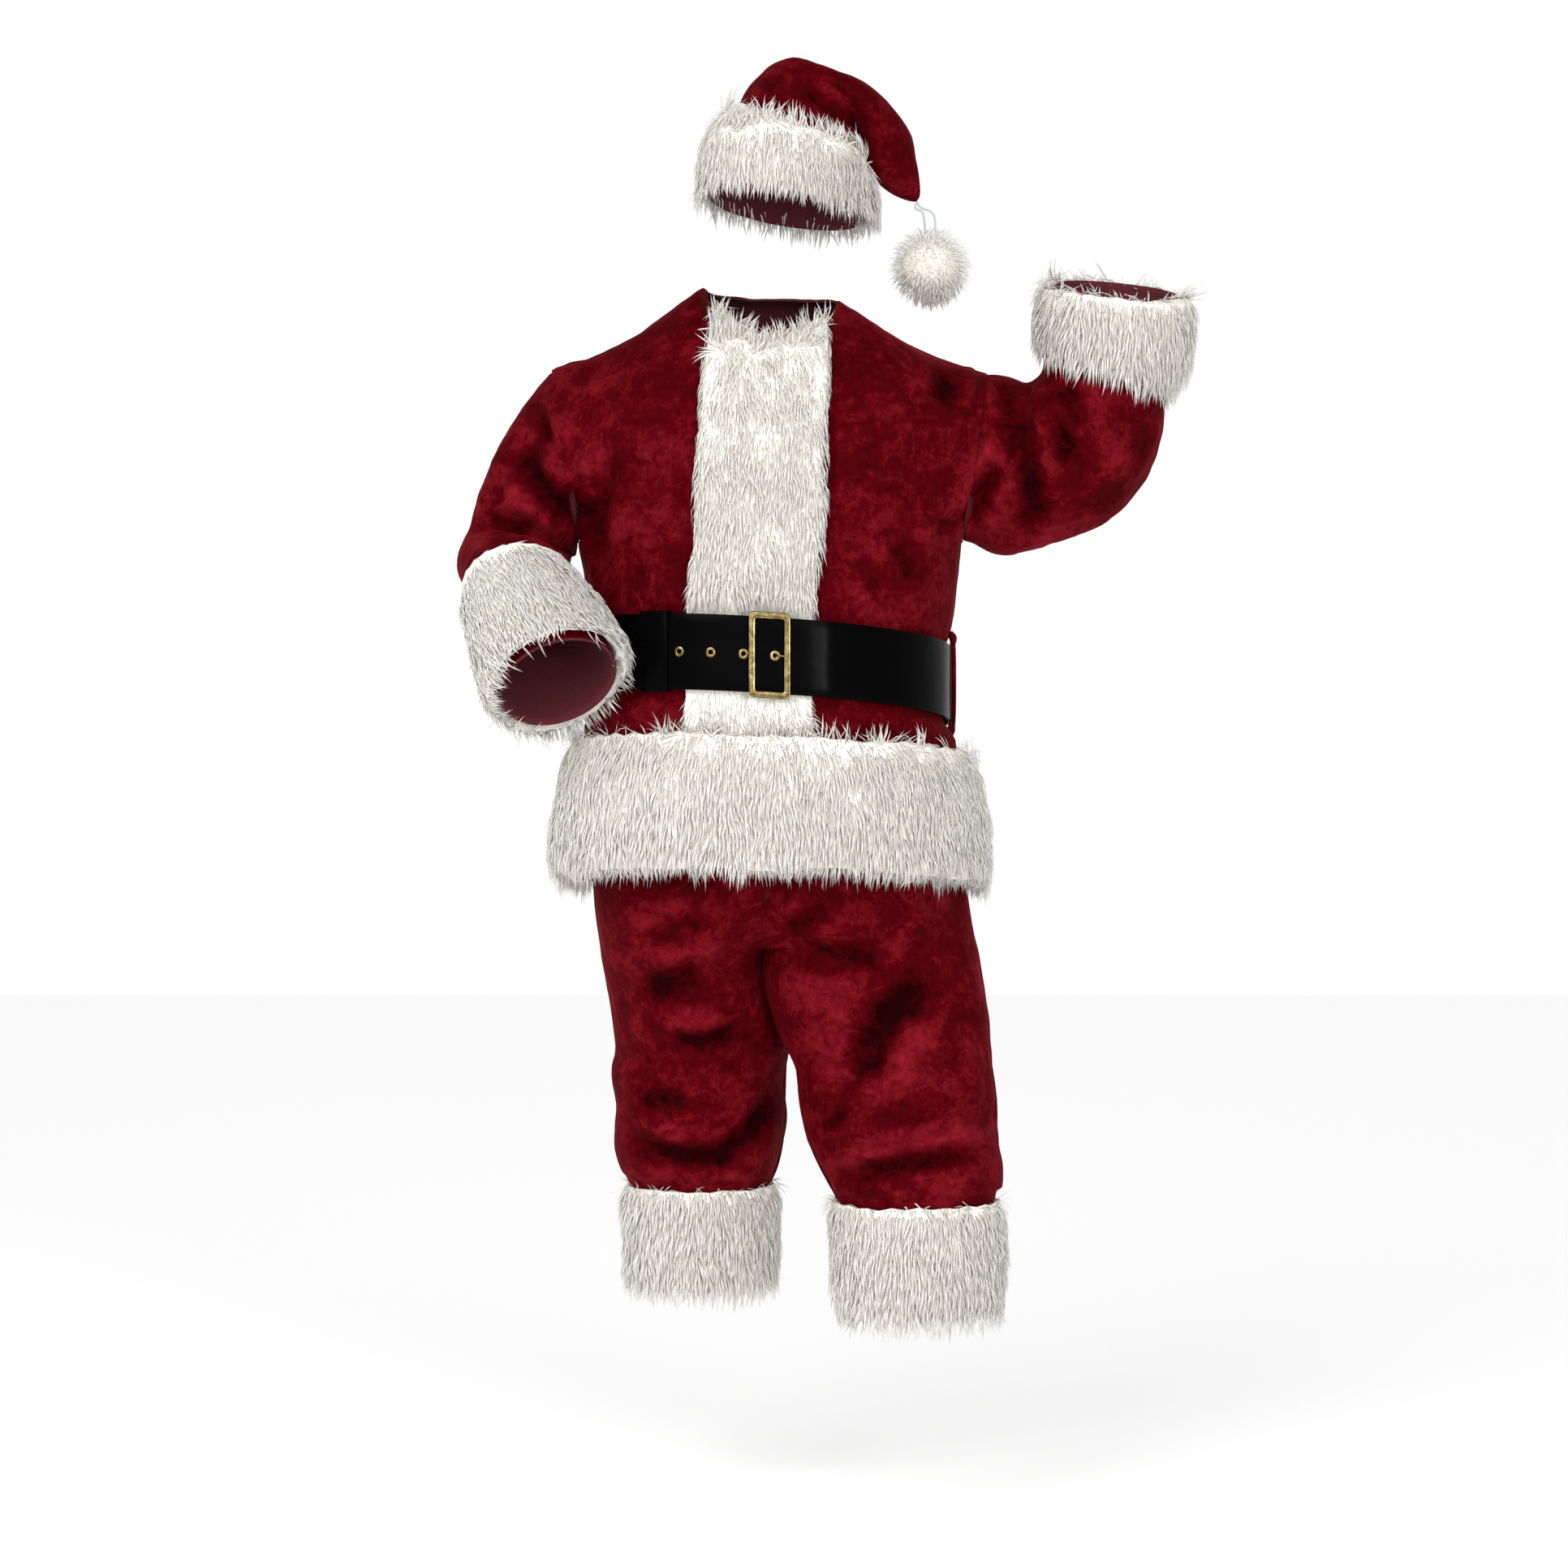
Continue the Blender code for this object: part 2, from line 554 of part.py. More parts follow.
def top_edge(side, column, back):
    # Neckline from the centre to the neck point, then the shoulder seam.
    neck = NECK_POINT[side]
    if column <= NECK_COLUMNS:
        middle = NECK_BACK if back else NECK_FRONT
        turn = math.radians(90.0 * column / NECK_COLUMNS)
        point = Vector()
        point.x = middle.x + (neck.x - middle.x) * math.sin(turn)
        point.y = neck.y + (middle.y - neck.y) * math.cos(turn)
        point.z = neck.z + (middle.z - neck.z) * math.cos(turn)
        return point
    part = (column - NECK_COLUMNS) / (FRONT_COLUMNS - NECK_COLUMNS)
    sag = -0.010 * math.sin(math.pi * part)
    return neck.lerp(SHOULDER[side], part) + Vector((0.0, 0.0, sag))


def open_section(side, column, step, back):
    # From the underarm section (step 0) to the neckline and shoulder seam (step 1).
    chest_row = BODY[-1]
    limit = math.radians(90.0 + (ARMHOLE_CUT - 90.0) * math.sin(step * math.pi / 2.0) ** 0.55)
    half = chest_row.half + (CHEST_HALF - chest_row.half) * min(1.0, 2.2 * step)
    front = chest_row.front + (CHEST_FRONT - chest_row.front) * step
    rear = chest_row.back + (CHEST_BACK - chest_row.back) * step
    opening = chest_row.opening + (OPENING_TOP - chest_row.opening) * step
    section = chest_row._replace(half=half, front=front, back=rear, opening=opening)
    if back:
        angle = side * limit * column / FRONT_COLUMNS
    else:
        angle = column_angles(section, side, limit)[column]
    ring = body_point(section, angle, back)
    top = top_edge(side, column, back)
    settle = 1.0 - math.cos(step * math.pi / 2.0) ** 0.75
    point = ring.lerp(top, settle)
    point.x = ring.x + (top.x - ring.x) * step ** 2.2
    rise = math.sin(step * math.pi / 2.0)
    point.z = chest_row.height + (top.z - chest_row.height) * rise
    return point


def armhole_point(side, step, back):
    # The armhole: an oval from the underarm up to the shoulder point.
    turn = math.pi * step
    underarm = Vector((side * BODY[-1].half, 0.0, BODY[-1].height))
    bulge = ARMHOLE_BACK if back else -ARMHOLE_FRONT
    point = underarm.lerp(SHOULDER[side], (1.0 - math.cos(turn)) / 2.0)
    point.y += bulge * math.sin(turn)
    return point


def upper_point(side, column, step, back):
    # The open section, drawn over to the armhole as it nears the side.
    point = open_section(side, column, step, back)
    edge = open_section(side, FRONT_COLUMNS, step, back)
    pull = (column / FRONT_COLUMNS) ** 3
    return point + (armhole_point(side, step, back) - edge) * pull


def front_sheet(side):
    points = []
    for section in BODY:
        angles = column_angles(section, side, math.pi / 2.0)
        points.append([body_point(section, angle) for angle in angles])
    for row in range(1, UPPER_ROWS + 1):
        step = row / UPPER_ROWS
        points.append([upper_point(side, c, step, False) for c in range(FRONT_COLUMNS + 1)])
    if side > 0:
        return Sheet(points)
    return Sheet([line[::-1] for line in points])


def back_sheet():
    columns = range(-FRONT_COLUMNS, FRONT_COLUMNS + 1)
    points = []
    for section in BODY:
        middle = section._replace()
        points.append([
            body_point(middle, math.pi / 2.0 * c / FRONT_COLUMNS, True) for c in columns
        ])
    for row in range(1, UPPER_ROWS + 1):
        step = row / UPPER_ROWS
        points.append([upper_point(1 if c > 0 else -1, abs(c), step, True) for c in columns])
    return Sheet([line[::-1] for line in points])


def clear_of_body(point, margin):
    # Moves a sleeve point out until it lies outside the jacket body.
    heights = [row.height for row in BODY]
    level = max(heights[0], min(heights[-1], point.z))
    index = 0
    while index < len(heights) - 2 and heights[index + 1] < level:
        index += 1
    part = (level - heights[index]) / (heights[index + 1] - heights[index])
    section = blend(BODY, index + part)
    depth = section.back if point.y > 0.0 else section.front
    across = (point.x - section.centre) / (section.half + margin)
    along = point.y / (depth + margin)
    reach = (abs(across) ** ROUNDNESS + abs(along) ** ROUNDNESS) ** (1.0 / ROUNDNESS)
    if reach >= 1.0:
        return point
    return Vector((section.centre + (point.x - section.centre) / reach, point.y / reach, point.z))


def ring_points(row, axis, side, columns, roundness=2.0):
    # A closed section from its two line points, its half depth and its axis.
    a = Vector((row.ax, row.ay, row.ah))
    b = Vector((row.bx, row.by, row.bh))
    centre = (a + b) / 2.0
    up = (a - b) / 2.0
    front = axis.cross(up).normalized() * (row.deep * side)
    line = []
    for index in range(columns):
        turn = 2.0 * math.pi * index / columns
        rise = signed_power(math.cos(turn), 2.0 / roundness)
        out = signed_power(math.sin(turn), 2.0 / roundness)
        line.append(centre + up * rise + front * out)
    return line


def section_axes(rows):
    centres = [Vector((r.ax + r.bx, r.ay + r.by, r.ah + r.bh)) / 2.0 for r in rows]
    last = len(rows) - 1
    return [
        (centres[min(i + 1, last)] - centres[max(i - 1, 0)]).normalized()
        for i in range(len(rows))
    ]


def sleeve_sheet(side, front, back, table, folds):
    # The first section is the armhole edge of the front and back panels.
    armpit = len(BODY) - 1
    edge = -1 if side > 0 else 0
    forward = [front.points[row][edge].copy() for row in range(armpit, armpit + UPPER_ROWS + 1)]
    edge = 0 if side > 0 else -1
    rear = [back.points[row][edge].copy() for row in range(armpit, armpit + UPPER_ROWS + 1)]
    points = [forward[::-1] + rear[1:-1]]
    for row, axis in zip(table, section_axes(table)):
        line = ring_points(row, axis, side, SLEEVE_COLUMNS)
        if side < 0:
            covered = len(points) >= len(table) - SLEEVE_CUFF_ROWS
            margin = CUFF_MARGIN if covered else SLEEVE_MARGIN
            line = [clear_of_body(point, margin) for point in line]
        points.append(line)
    if side < 0:
        points = [line[:1] + line[:0:-1] for line in points]
    sheet = Sheet(points, closed=True)
    sheet.fold(folds, mirrored=side < 0, fixed_rows=(2, SLEEVE_CUFF_ROWS + 1))
    share_normals([sheet])
    # The first ring lies square to the armhole, so its wall stays on its own side.
    ring = sheet.points[0]
    centre = sum(ring, Vector()) / len(ring)
    rise = SHOULDER[side] - Vector((side * BODY[-1].half, 0.0, BODY[-1].height))
    sheet.mouth = Vector((0.0, 1.0, 0.0)).cross(rise).normalized()
    if sheet.mouth.x * side < 0.0:
        sheet.mouth.negate()
    spokes = [point - centre for point in ring]
    sheet.normals[0] = [
        (spoke - sheet.mouth * spoke.dot(sheet.mouth)).normalized() for spoke in spokes
    ]
    return sheet


# ---------------------------------------------------------------- build

def build_jacket():
    fronts = {side: front_sheet(side) for side in (-1, 1)}
    back = back_sheet()
    for side, sheet in fronts.items():
        columns = FRONT_COLUMNS
        moved = [
            each._replace(column=columns - each.column, angle=180.0 - each.angle)
            if side < 0 else each for each in FRONT_FOLDS
        ]
        fold_panel(sheet, moved)
    fold_panel(back, BACK_FOLDS)
    sleeves = {
        -1: sleeve_sheet(-1, fronts[-1], back, LEFT_SLEEVE, LEFT_SLEEVE_FOLDS),
        1: sleeve_sheet(1, fronts[1], back, RIGHT_SLEEVE, RIGHT_SLEEVE_FOLDS),
    }
    share_normals([fronts[-1], fronts[1], back])
    panel("jacket_front_left", fronts[-1], plush, sewn="lrt")
    panel("jacket_front_right", fronts[1], plush, sewn="lrt")
    panel("jacket_back", back, plush, sewn="lrt")
    for side, name in ((-1, "left"), (1, "right")):
        sleeve = sleeves[side]
        panel("sleeve_" + name, sleeve, plush, sewn="b")
        last = sleeve.rows - 1
        rows = (last - SLEEVE_CUFF_ROWS, last)
        piles = (0.008, 0.017, 0.022, 0.023, 0.020)
        panel(
            "sleeve_cuff_" + name, sleeve, white, rows=rows, inner=flat_lap,
            outer=fur(rows, piles, 0.016, 1.3 + side, "t"),
        )
    return fronts, back


def fold_panel(sheet, folds):
    # Folds fade out at the side edges, so that sewn edges still meet.
    share_normals([sheet])
    belt = range(BELT_LOW_ROW - 1, BELT_HIGH_ROW + 2)
    last = sheet.columns - 1
    for row in range(HEM_TOP_ROW, sheet.rows - 1):
        for column in range(1, last):
            fade = min(1.0, column / 2.0, (last - column) / 2.0)
            if row in belt:
                fade = 0.0
            depth = sum(fold_depth(sheet, each, column, row, False) for each in folds)
            sheet.points[row][column] += sheet.normals[row][column] * depth * fade


def body_ring(fronts, back, rows):
    # The whole hem, round from the opening: right front, back, left front.
    points = []
    for row in rows:
        right = fronts[1].points[row]
        left = fronts[-1].points[row]
        points.append(right + back.points[row][1:-1] + left[:-1])
    return Sheet(points, closed=True)


def build_jacket_fur(fronts, back):
    ring = body_ring(fronts, back, range(HEM_TOP_ROW + 2))
    share_normals([ring])
    rows = (0, HEM_TOP_ROW)
    panel(
        "hem_fur", ring, white, rows=rows, inner=flat_lap, sewn="t",
        outer=fur(rows, (0.021, 0.026, 0.025, 0.018), 0.020, 0.4, "b"),
    )
    width = PLACKET_COLUMNS
    strip = Sheet([
        left[-width - 1:-1] + right[:width + 1]
        for left, right in zip(fronts[-1].points, fronts[1].points)
    ])
    share_normals([strip])
    rows = (HEM_TOP_ROW, strip.rows - 1)
    under_belt = (0.016, 0.009, 0.0050, 0.0052, 0.0052, 0.011, 0.019)
    piles = under_belt + (0.022,) * (strip.rows - HEM_TOP_ROW - len(under_belt))
    panel(
        "placket_fur", strip, white, rows=rows, inner=flat_lap, sewn="b",
        outer=fur(rows, piles, 0.006, 2.2, "t"),
    )


# ---------------------------------------------------------------- trousers

def half_section(start, end, turn, deep, rear):
    # From the outseam round the front or the back to the inseam or the centre seam.
    limit = math.radians(turn)
    way = 1.0 if rear else -1.0
    line = []
    for column in range(LEG_COLUMNS + 1):
        angle = limit * column / LEG_COLUMNS
        part = angle / limit
        x = start.x + (end.x - start.x) * (1.0 - math.cos(angle)) / (1.0 - math.cos(limit))
        y = start.y + way * deep * math.sin(angle)
        y += (end.y - start.y - way * deep * math.sin(limit)) * part ** 2
        line.append(Vector((x, y, start.z + (end.z - start.z) * part ** 1.5)))
    return line


def leg_sheet(side, rear, table, folds):
    points = []
    for step in range(2 * len(table) - 1):
        row = blend(table, step / 2.0)
        start = Vector((row.outer, row.shift, row.height))
        end = Vector((row.inner, row.shift, row.height))
        points.append(half_section(start, end, 180.0, row.deep, rear))
    crotch = len(points)
    for row in SEAT:
        start = Vector((row.left if side < 0 else row.right, 0.0, row.side_height))
        end = Vector((row.seam, row.seam_back if rear else row.seam_front, row.seam_height))
        points.append(half_section(start, end, row.turn, row.deep, rear))
    # Columns run so that each panel faces out.
    turned = (side < 0) == rear
    sheet = Sheet([line[::-1] for line in points] if turned else points)
    share_normals([sheet])
    for row in range(crotch - 1 + len(SEAT)):
        for column in range(LEG_COLUMNS + 1):
            place = LEG_COLUMNS - column if turned else column
            if place in (0, LEG_COLUMNS):
                continue
            round_leg = 2 * LEG_COLUMNS - place if rear else place
            depth = 0.0
            for each in folds:
                run = (round_leg - each.column, row / 2.0 - each.row)
                depth += fold_shape(each, *run)
            edge = min(1.0, place / 2.0, (LEG_COLUMNS - place) / 2.0)
            sheet.points[row][column] += sheet.normals[row][column] * depth * edge
    return sheet


def ring_of(first, second):
    # Joins two half sheets, whose edges meet, into a closed one.
    points = [a + b[1:-1] for a, b in zip(first.points, second.points)]
    return Sheet(points, closed=True)


def build_trousers():
    sheets = {}
    for side, table, folds in ((-1, LEFT_LEG, LEFT_LEG_FOLDS), (1, RIGHT_LEG, RIGHT_LEG_FOLDS)):
        for rear in (False, True):
            sheets[side, rear] = leg_sheet(side, rear, table, folds)
    share_normals(list(sheets.values()))
    crotch = 2 * len(LEFT_LEG) - 1
    for (side, rear), sheet in sheets.items():
        # At the foot of the centre seam each leg's wall stands on its own side.
        inseam = 0 if (side < 0) == rear else -1
        sheet.normals[crotch][inseam] = Vector((-side, 0.0, -0.3)).normalized()
        name = ("trouser_back_" if rear else "trouser_front_") + ("left" if side < 0 else "right")
        panel(name, sheet, plush, sewn="lr")
    for side, name in ((-1, "left"), (1, "right")):
        ring = ring_of(sheets[side, False], sheets[side, True])
        share_normals([ring])
        rows = (0, 2 * LEG_CUFF_ROWS - 1)
        piles = (0.019, 0.022, 0.023, 0.022, 0.019, 0.012)
        panel(
            "leg_cuff_" + name, ring, white, rows=rows, inner=flat_lap,
            outer=fur(rows, piles, 0.022, 3.1 + side, "b"),
        )


# ---------------------------------------------------------------- hat

def build_hat():
    points = []
    for row, axis in zip(HAT, section_axes(HAT)):
        line = ring_points(row, axis, 1, HAT_COLUMNS)
        points.append([point + Vector((0.0, 0.0, -0.10 * (point.y - 0.012))) for point in line])
    sheet = Sheet(points, closed=True)
    sheet.fold(HAT_FOLDS, fixed_rows=(HAT_BAND_ROWS + 1, 1))
    share_normals([sheet])
    pointed_wall("hat_crown", sheet, plush, TAIL_TIP)
    rows = (0, HAT_BAND_ROWS)
    panel(
        "hat_band_fur", sheet, white, rows=rows, inner=flat_lap,
        outer=fur(rows, (0.018, 0.024, 0.024, 0.016), 0.014, 0.9, "b"),
    )


def pointed_wall(name, sheet, look, tip):
    # The crown: a wall whose last section is drawn to a point, hollow to near the tip.
    built = bmesh.new()
    high = []
    low = []
    for line, normals in zip(sheet.points, sheet.normals):
        high.append([built.verts.new(world(point)) for point in line])
        low.append([
            built.verts.new(world(point - normal * CLOTH)) for point, normal in zip(line, normals)
        ])
    outer_tip = built.verts.new(world(tip))
    middle = sum(sheet.points[-1], Vector()) / sheet.columns
    inner_tip = built.verts.new(world(middle.lerp(tip, 0.3)))
    count = sheet.columns
    for index in range(count):
        after = (index + 1) % count
        for row in range(sheet.rows - 1):
            for grid, flip in ((high, False), (low, True)):
                a, b = grid[row][index], grid[row][after]
                c, d = grid[row + 1][after], grid[row + 1][index]
                for corners in ((a, b, c), (a, c, d)):
                    built.faces.new(corners[::-1] if flip else corners)
        built.faces.new((high[-1][index], high[-1][after], outer_tip))
        built.faces.new((low[-1][after], low[-1][index], inner_tip))
        built.faces.new((low[0][index], low[0][after], high[0][after]))
        built.faces.new((low[0][index], high[0][after], high[0][index]))
    return finish(name, built, look)


def build_pompom():
    # A ball of backing with a lock standing on each face, but for its crown.
    built = bmesh.new()
    bmesh.ops.create_icosphere(built, subdivisions=2, radius=POMPOM_CORE)
    faces = [face for face in built.faces if face.normal.z < LOCK_BARE]
    locks = bmesh.ops.poke(built, faces=faces)["verts"]
    for index, vertex in enumerate(locks):
        away = vertex.co.normalized()
        lean = Vector((wobble(index, 1), wobble(index, 4), wobble(index, 7) - 0.5)) * 0.006
        vertex.co = away * POMPOM_RADIUS * (1.0 + 0.05 * wobble(index, 2)) + lean
    for vertex in built.verts:
        vertex.co += world(POMPOM_CENTRE)
    finish("pompom", built, white)


def build_loop():
    # A thread loop from the tip of the hat down into the pompom.
    top = TAIL_TIP + Vector((0.0, 0.0, -LOOP_RADIUS - LOOP_CLEAR))
    crown = POMPOM_CENTRE + Vector((0.0, 0.0, POMPOM_CORE - LOOP_CLEAR))
    left = [crown + Vector(offset) for offset in LOOP_LEFT] + [top + Vector(LOOP_LEFT_TOP)]
    right = [top + Vector(LOOP_RIGHT_TOP)] + [crown + Vector(offset) for offset in LOOP_RIGHT]
    knots = [Knot(*point) for point in left + [top] + right]
    steps = 2 * (len(knots) - 1)
    route = [Vector(blend(knots, step / 2.0)) for step in range(steps + 1)]
    tube("pompom_loop", route, LOOP_RADIUS, cotton)


def tube(name, route, radius, look):
    curve = bpy.data.curves.new(name, "CURVE")
    curve.dimensions = "3D"
    curve.bevel_depth = radius
    curve.bevel_resolution = 2
    curve.use_fill_caps = True
    spline = curve.splines.new("POLY")
    spline.points.add(len(route) - 1)
    for knot, point in zip(spline.points, route):
        knot.co = (*world(point), 1.0)
    curve.materials.append(look)
    made = bpy.data.objects.new(name, curve)
    suit.objects.link(made)
    return made


# ---------------------------------------------------------------- belt

def waist_point(turn, level):
    # The cloth under the belt: turn in radians from the front towards -X, level from -1 to 1.
    angle = -turn
    back = math.cos(angle) < 0.0
    low = belt_section_point(BODY[BELT_LOW_ROW], angle, back)
    high = belt_section_point(BODY[BELT_HIGH_ROW], angle, back)
    return low.lerp(high, (level + 1.0) / 2.0)


def belt_section_point(section, angle, back):
    depth = section.back if back else -section.front
    x = section.centre + section.half * signed_power(math.sin(angle), 2.0 / ROUNDNESS)
    y = depth * abs(math.cos(angle)) ** (2.0 / ROUNDNESS)
    return Vector((x, y, section.height + section.tilt_x * x + section.tilt_y * y))


def waist_frame(turn, level):
    # Place, direction along the strap, direction up it, and outward normal.
    place = waist_point(turn, level)
    after = waist_point(turn + WAIST_NUDGE, level)
    along = (after - waist_point(turn - WAIST_NUDGE, level)).normalized()
    up = (waist_point(turn, 1.0) - waist_point(turn, -1.0)).normalized()
    out = up.cross(along).normalized()
    if out.dot(Vector((place.x, place.y, 0.0))) < 0.0:
        out.negate()
    return place, along, up, out


def strap_lift(turn, x, front):
    # Distance of the strap's inner face from the cloth.
    lift = BELT_STANDOFF + LAYER_STEP * turn / (2.0 * math.pi)
    if front:
        away = max(0.0, abs(x - BODY[BELT_MIDDLE_ROW].opening) - PLACKET_HALF)
        part = min(1.0, away / BELT_EASE)
        lift += BELT_LIFT * (1.0 - part * part * (3.0 - 2.0 * part))
    return lift


def strap_point(turn, level, lift):
    place, _, _, out = waist_frame(turn, level)
    front = math.cos(turn) > 0.0
    return place + out * (strap_lift(turn, place.x, front) + lift)


class StrapRoute:
    # Turns at given distances along the strap's outer face, from the pinned eyelet.
    def __init__(self):
        self.turns = [math.radians(0.5 * index) for index in range(-8, 880)]
        self.runs = [0.0]
        places = [strap_point(turn, 0.0, BELT_THICK) for turn in self.turns]
        for first, second in zip(places, places[1:]):
            self.runs.append(self.runs[-1] + (second - first).length)
        around = [
            index for index, turn in enumerate(self.turns)
            if turn > 1.5 * math.pi and places[index].x <= EYELET_X
        ]
        self.pinned = self.runs[around[0]]
        starts = [
            index for index, turn in enumerate(self.turns)
            if turn < math.pi / 2.0 and places[index].x <= STRAP_START_X
        ]
        self.start = self.runs[starts[0]] - self.pinned

    def turn(self, run):
        target = run + self.pinned
        for index in range(len(self.runs) - 1):
            if self.runs[index + 1] >= target:
                part = (target - self.runs[index]) / (self.runs[index + 1] - self.runs[index])
                return self.turns[index] + part * (self.turns[index + 1] - self.turns[index])
        return self.turns[-1]


def grid_solid(name, rings, look, closed_run=False):
    # Rings of points, each closed, joined in order: capped at its ends, or closed in a loop.
    built = bmesh.new()
    lines = [[built.verts.new(world(point)) for point in ring] for ring in rings]
    count = len(lines[0])
    pairs = list(zip(lines, lines[1:]))
    if closed_run:
        pairs.append((lines[-1], lines[0]))
    for first, second in pairs:
        for index in range(count):
            after = (index + 1) % count
            built.faces.new((first[index], first[after], second[after]))
            built.faces.new((first[index], second[after], second[index]))
    if not closed_run:
        built.faces.new(lines[0][::-1])
        built.faces.new(lines[-1])
    return finish(name, built, look)


def build_strap(route):
    end = STRAP_OVERLAP
    step = EYELET_SPACING / 2.0
    first = math.ceil((route.start - step / 2.0) / step)
    last = math.floor((end - step / 2.0) / step)
    # Short steps where the strap lies on itself, long ones round the back.
    layered = route.start + STRAP_OVERLAP + 2.0 * step
    steps = [
        index for index in range(first, last)
        if index % 2 == 0 or index * step > -0.1 or index * step < layered
    ]
    runs = [route.start] + [(index + 0.5) * step for index in steps]
    runs = [run for run in runs if run <= end - TIP_LENGTH]
    runs += [end - TIP_LENGTH * part for part in (0.75, 0.50, 0.30, 0.15, 0.05, 0.0)]
    rings = []
    for run in sorted(set(runs)):
        turn = route.turn(run)
        part = max(0.0, (run - (end - TIP_LENGTH)) / TIP_LENGTH)
        half = max(0.10, (1.0 - part ** 2.1) ** 0.75)
        ring = []
        for level, lift in ((-half, 0.0), (half, 0.0), (half, BELT_THICK), (-half, BELT_THICK)):
            ring.append(strap_point(turn, level, lift))
        rings.append(ring)
    strap = grid_solid("belt_strap", rings, patent)
    cutter = bmesh.new()
    for index in EYELETS:
        frame = eyelet_frame(route, index)
        made = bmesh.ops.create_cone(
            cutter, cap_ends=True, segments=10, radius1=EYELET_HOLE, radius2=EYELET_HOLE,
            depth=BELT_THICK * 1.9,
        )
        for vertex in made["verts"]:
            vertex.co = frame(vertex.co.x, vertex.co.y, vertex.co.z - BELT_THICK / 2.0)
    holes = bpy.data.meshes.new("eyelet_holes")
    cutter.to_mesh(holes)
    cutter.free()
    hole_object = bpy.data.objects.new("eyelet_holes", holes)
    hole_object.hide_render = True
    hole_object.display_type = "WIRE"
    cutters.objects.link(hole_object)
    cut = strap.modifiers.new("eyelet_holes", "BOOLEAN")
    cut.operation = "DIFFERENCE"
    cut.object = hole_object
    cut.solver = "EXACT"


def eyelet_frame(route, index):
    return strap_frame(route.turn(index * EYELET_SPACING))


def strap_frame(turn):
    # Maps (along, up, out) from the strap's outer face to the part's frame.
    place, _, rise, _ = waist_frame(turn, 0.0)
    before = strap_point(turn - FRAME_REACH, 0.0, BELT_THICK)
    after = strap_point(turn + FRAME_REACH, 0.0, BELT_THICK)
    along = (before - after).normalized()
    out = along.cross(rise).normalized()
    if out.dot(Vector((place.x, place.y, 0.0))) < 0.0:
        out.negate()
    up = (rise - out * rise.dot(out)).normalized()
    origin = (before + after) / 2.0

    def to_part(run, height, lift):
        return world(origin + along * run + up * height + out * lift)

    return to_part


def build_eyelets(route):
    corners = len(EYELET_SECTION)
    for number, index in enumerate(EYELETS, 1):
        frame = eyelet_frame(route, index)
        built = bmesh.new()
        rings = []
        for step in range(EYELET_STEPS):
            turn = 2.0 * math.pi * step / EYELET_STEPS
            rings.append([
                built.verts.new(frame(radius * math.cos(turn), radius * math.sin(turn), lift))
                for radius, lift in EYELET_SECTION
            ])
        for first, second in zip(rings, rings[1:] + rings[:1]):
            for corner in range(corners):
                after = (corner + 1) % corners
                built.faces.new((first[corner], first[after], second[after], second[corner]))
        finish("eyelet_%d" % number, built, brass)


def rounded_rectangle(width, height, radius, corner_steps=4):
    points = []
    for quarter in range(4):
        side_x = 1 if quarter in (0, 3) else -1
        side_y = 1 if quarter in (0, 1) else -1
        for step in range(corner_steps):
            turn = math.radians(90.0 * (quarter + step / (corner_steps - 1)))
            x = side_x * (width / 2.0 - radius) + radius * math.cos(turn)
            y = side_y * (height / 2.0 - radius) + radius * math.sin(turn)
            points.append((x, y))
    return points


def build_buckle(route):
    frame = strap_frame(route.turn(PIN_OFFSET))

    def local(run, rise, lift):
        # Undoes the move to the part's frame that finish() and tube() make.
        return frame(run, rise, lift) + Vector((0.0, 0.0, MOUNT_HEIGHT))

    low = BUCKLE_CLEAR
    high = low + BUCKLE_THICK
    section = [
        (0.0, low), (BUCKLE_BAR, low), (BUCKLE_BAR, high - BUCKLE_EDGE),
        (BUCKLE_BAR - BUCKLE_EDGE, high), (BUCKLE_EDGE, high), (0.0, high - BUCKLE_EDGE),
    ]
    outer = rounded_rectangle(BUCKLE_WIDTH, BUCKLE_HEIGHT, BUCKLE_ROUND)
    inner = rounded_rectangle(
        BUCKLE_WIDTH - 2.0 * BUCKLE_BAR, BUCKLE_HEIGHT - 2.0 * BUCKLE_BAR,
        BUCKLE_ROUND * INNER_ROUND,
    )
    rings = []
    for (x0, y0), (x1, y1) in zip(outer, inner):
        ring = []
        for inward, lift in section:
            part = inward / BUCKLE_BAR
            ring.append(local(x0 + (x1 - x0) * part, y0 + (y1 - y0) * part, lift))
        rings.append(ring)
    buckle = grid_solid("buckle_frame", rings, brass, closed_run=True)
    join_centre_bar(buckle, local, (low + high) / 2.0)
    build_prong(local, high)


def join_centre_bar(buckle, local, middle):
    # A rod behind the strap whose ends turn up into the frame's top and bottom bars.
    deep = -LAYER_STEP - BAR_RADIUS + BAR_SINK
    reach = BELT_HEIGHT / 2.0 + BAR_RADIUS + BAR_RISE
    rings = []
    for rise, lift, turn in ((1, middle, 0), (1, deep, 45), (-1, deep, 135), (-1, middle, 180)):
        ring = []
        lean = math.radians(turn)
        stretch = 1.0 / max(abs(math.cos(lean)), abs(math.sin(lean)))
        for step in range(BAR_SIDES):
            around = 2.0 * math.pi * step / BAR_SIDES
            across = BAR_RADIUS * stretch * math.cos(around)
            up = across * math.cos(lean)
            down = -across * math.sin(lean)
            ring.append(local(BAR_RADIUS * math.sin(around), rise * reach + up, lift + down))
        rings.append(ring)
    bar = grid_solid("centre_bar", rings, brass)
    suit.objects.unlink(bar)
    cutters.objects.link(bar)
    bar.hide_render = True
    bar.display_type = "WIRE"
    joined = buckle.modifiers.new("centre_bar", "BOOLEAN")
    joined.operation = "UNION"
    joined.object = bar
    joined.solver = "EXACT"


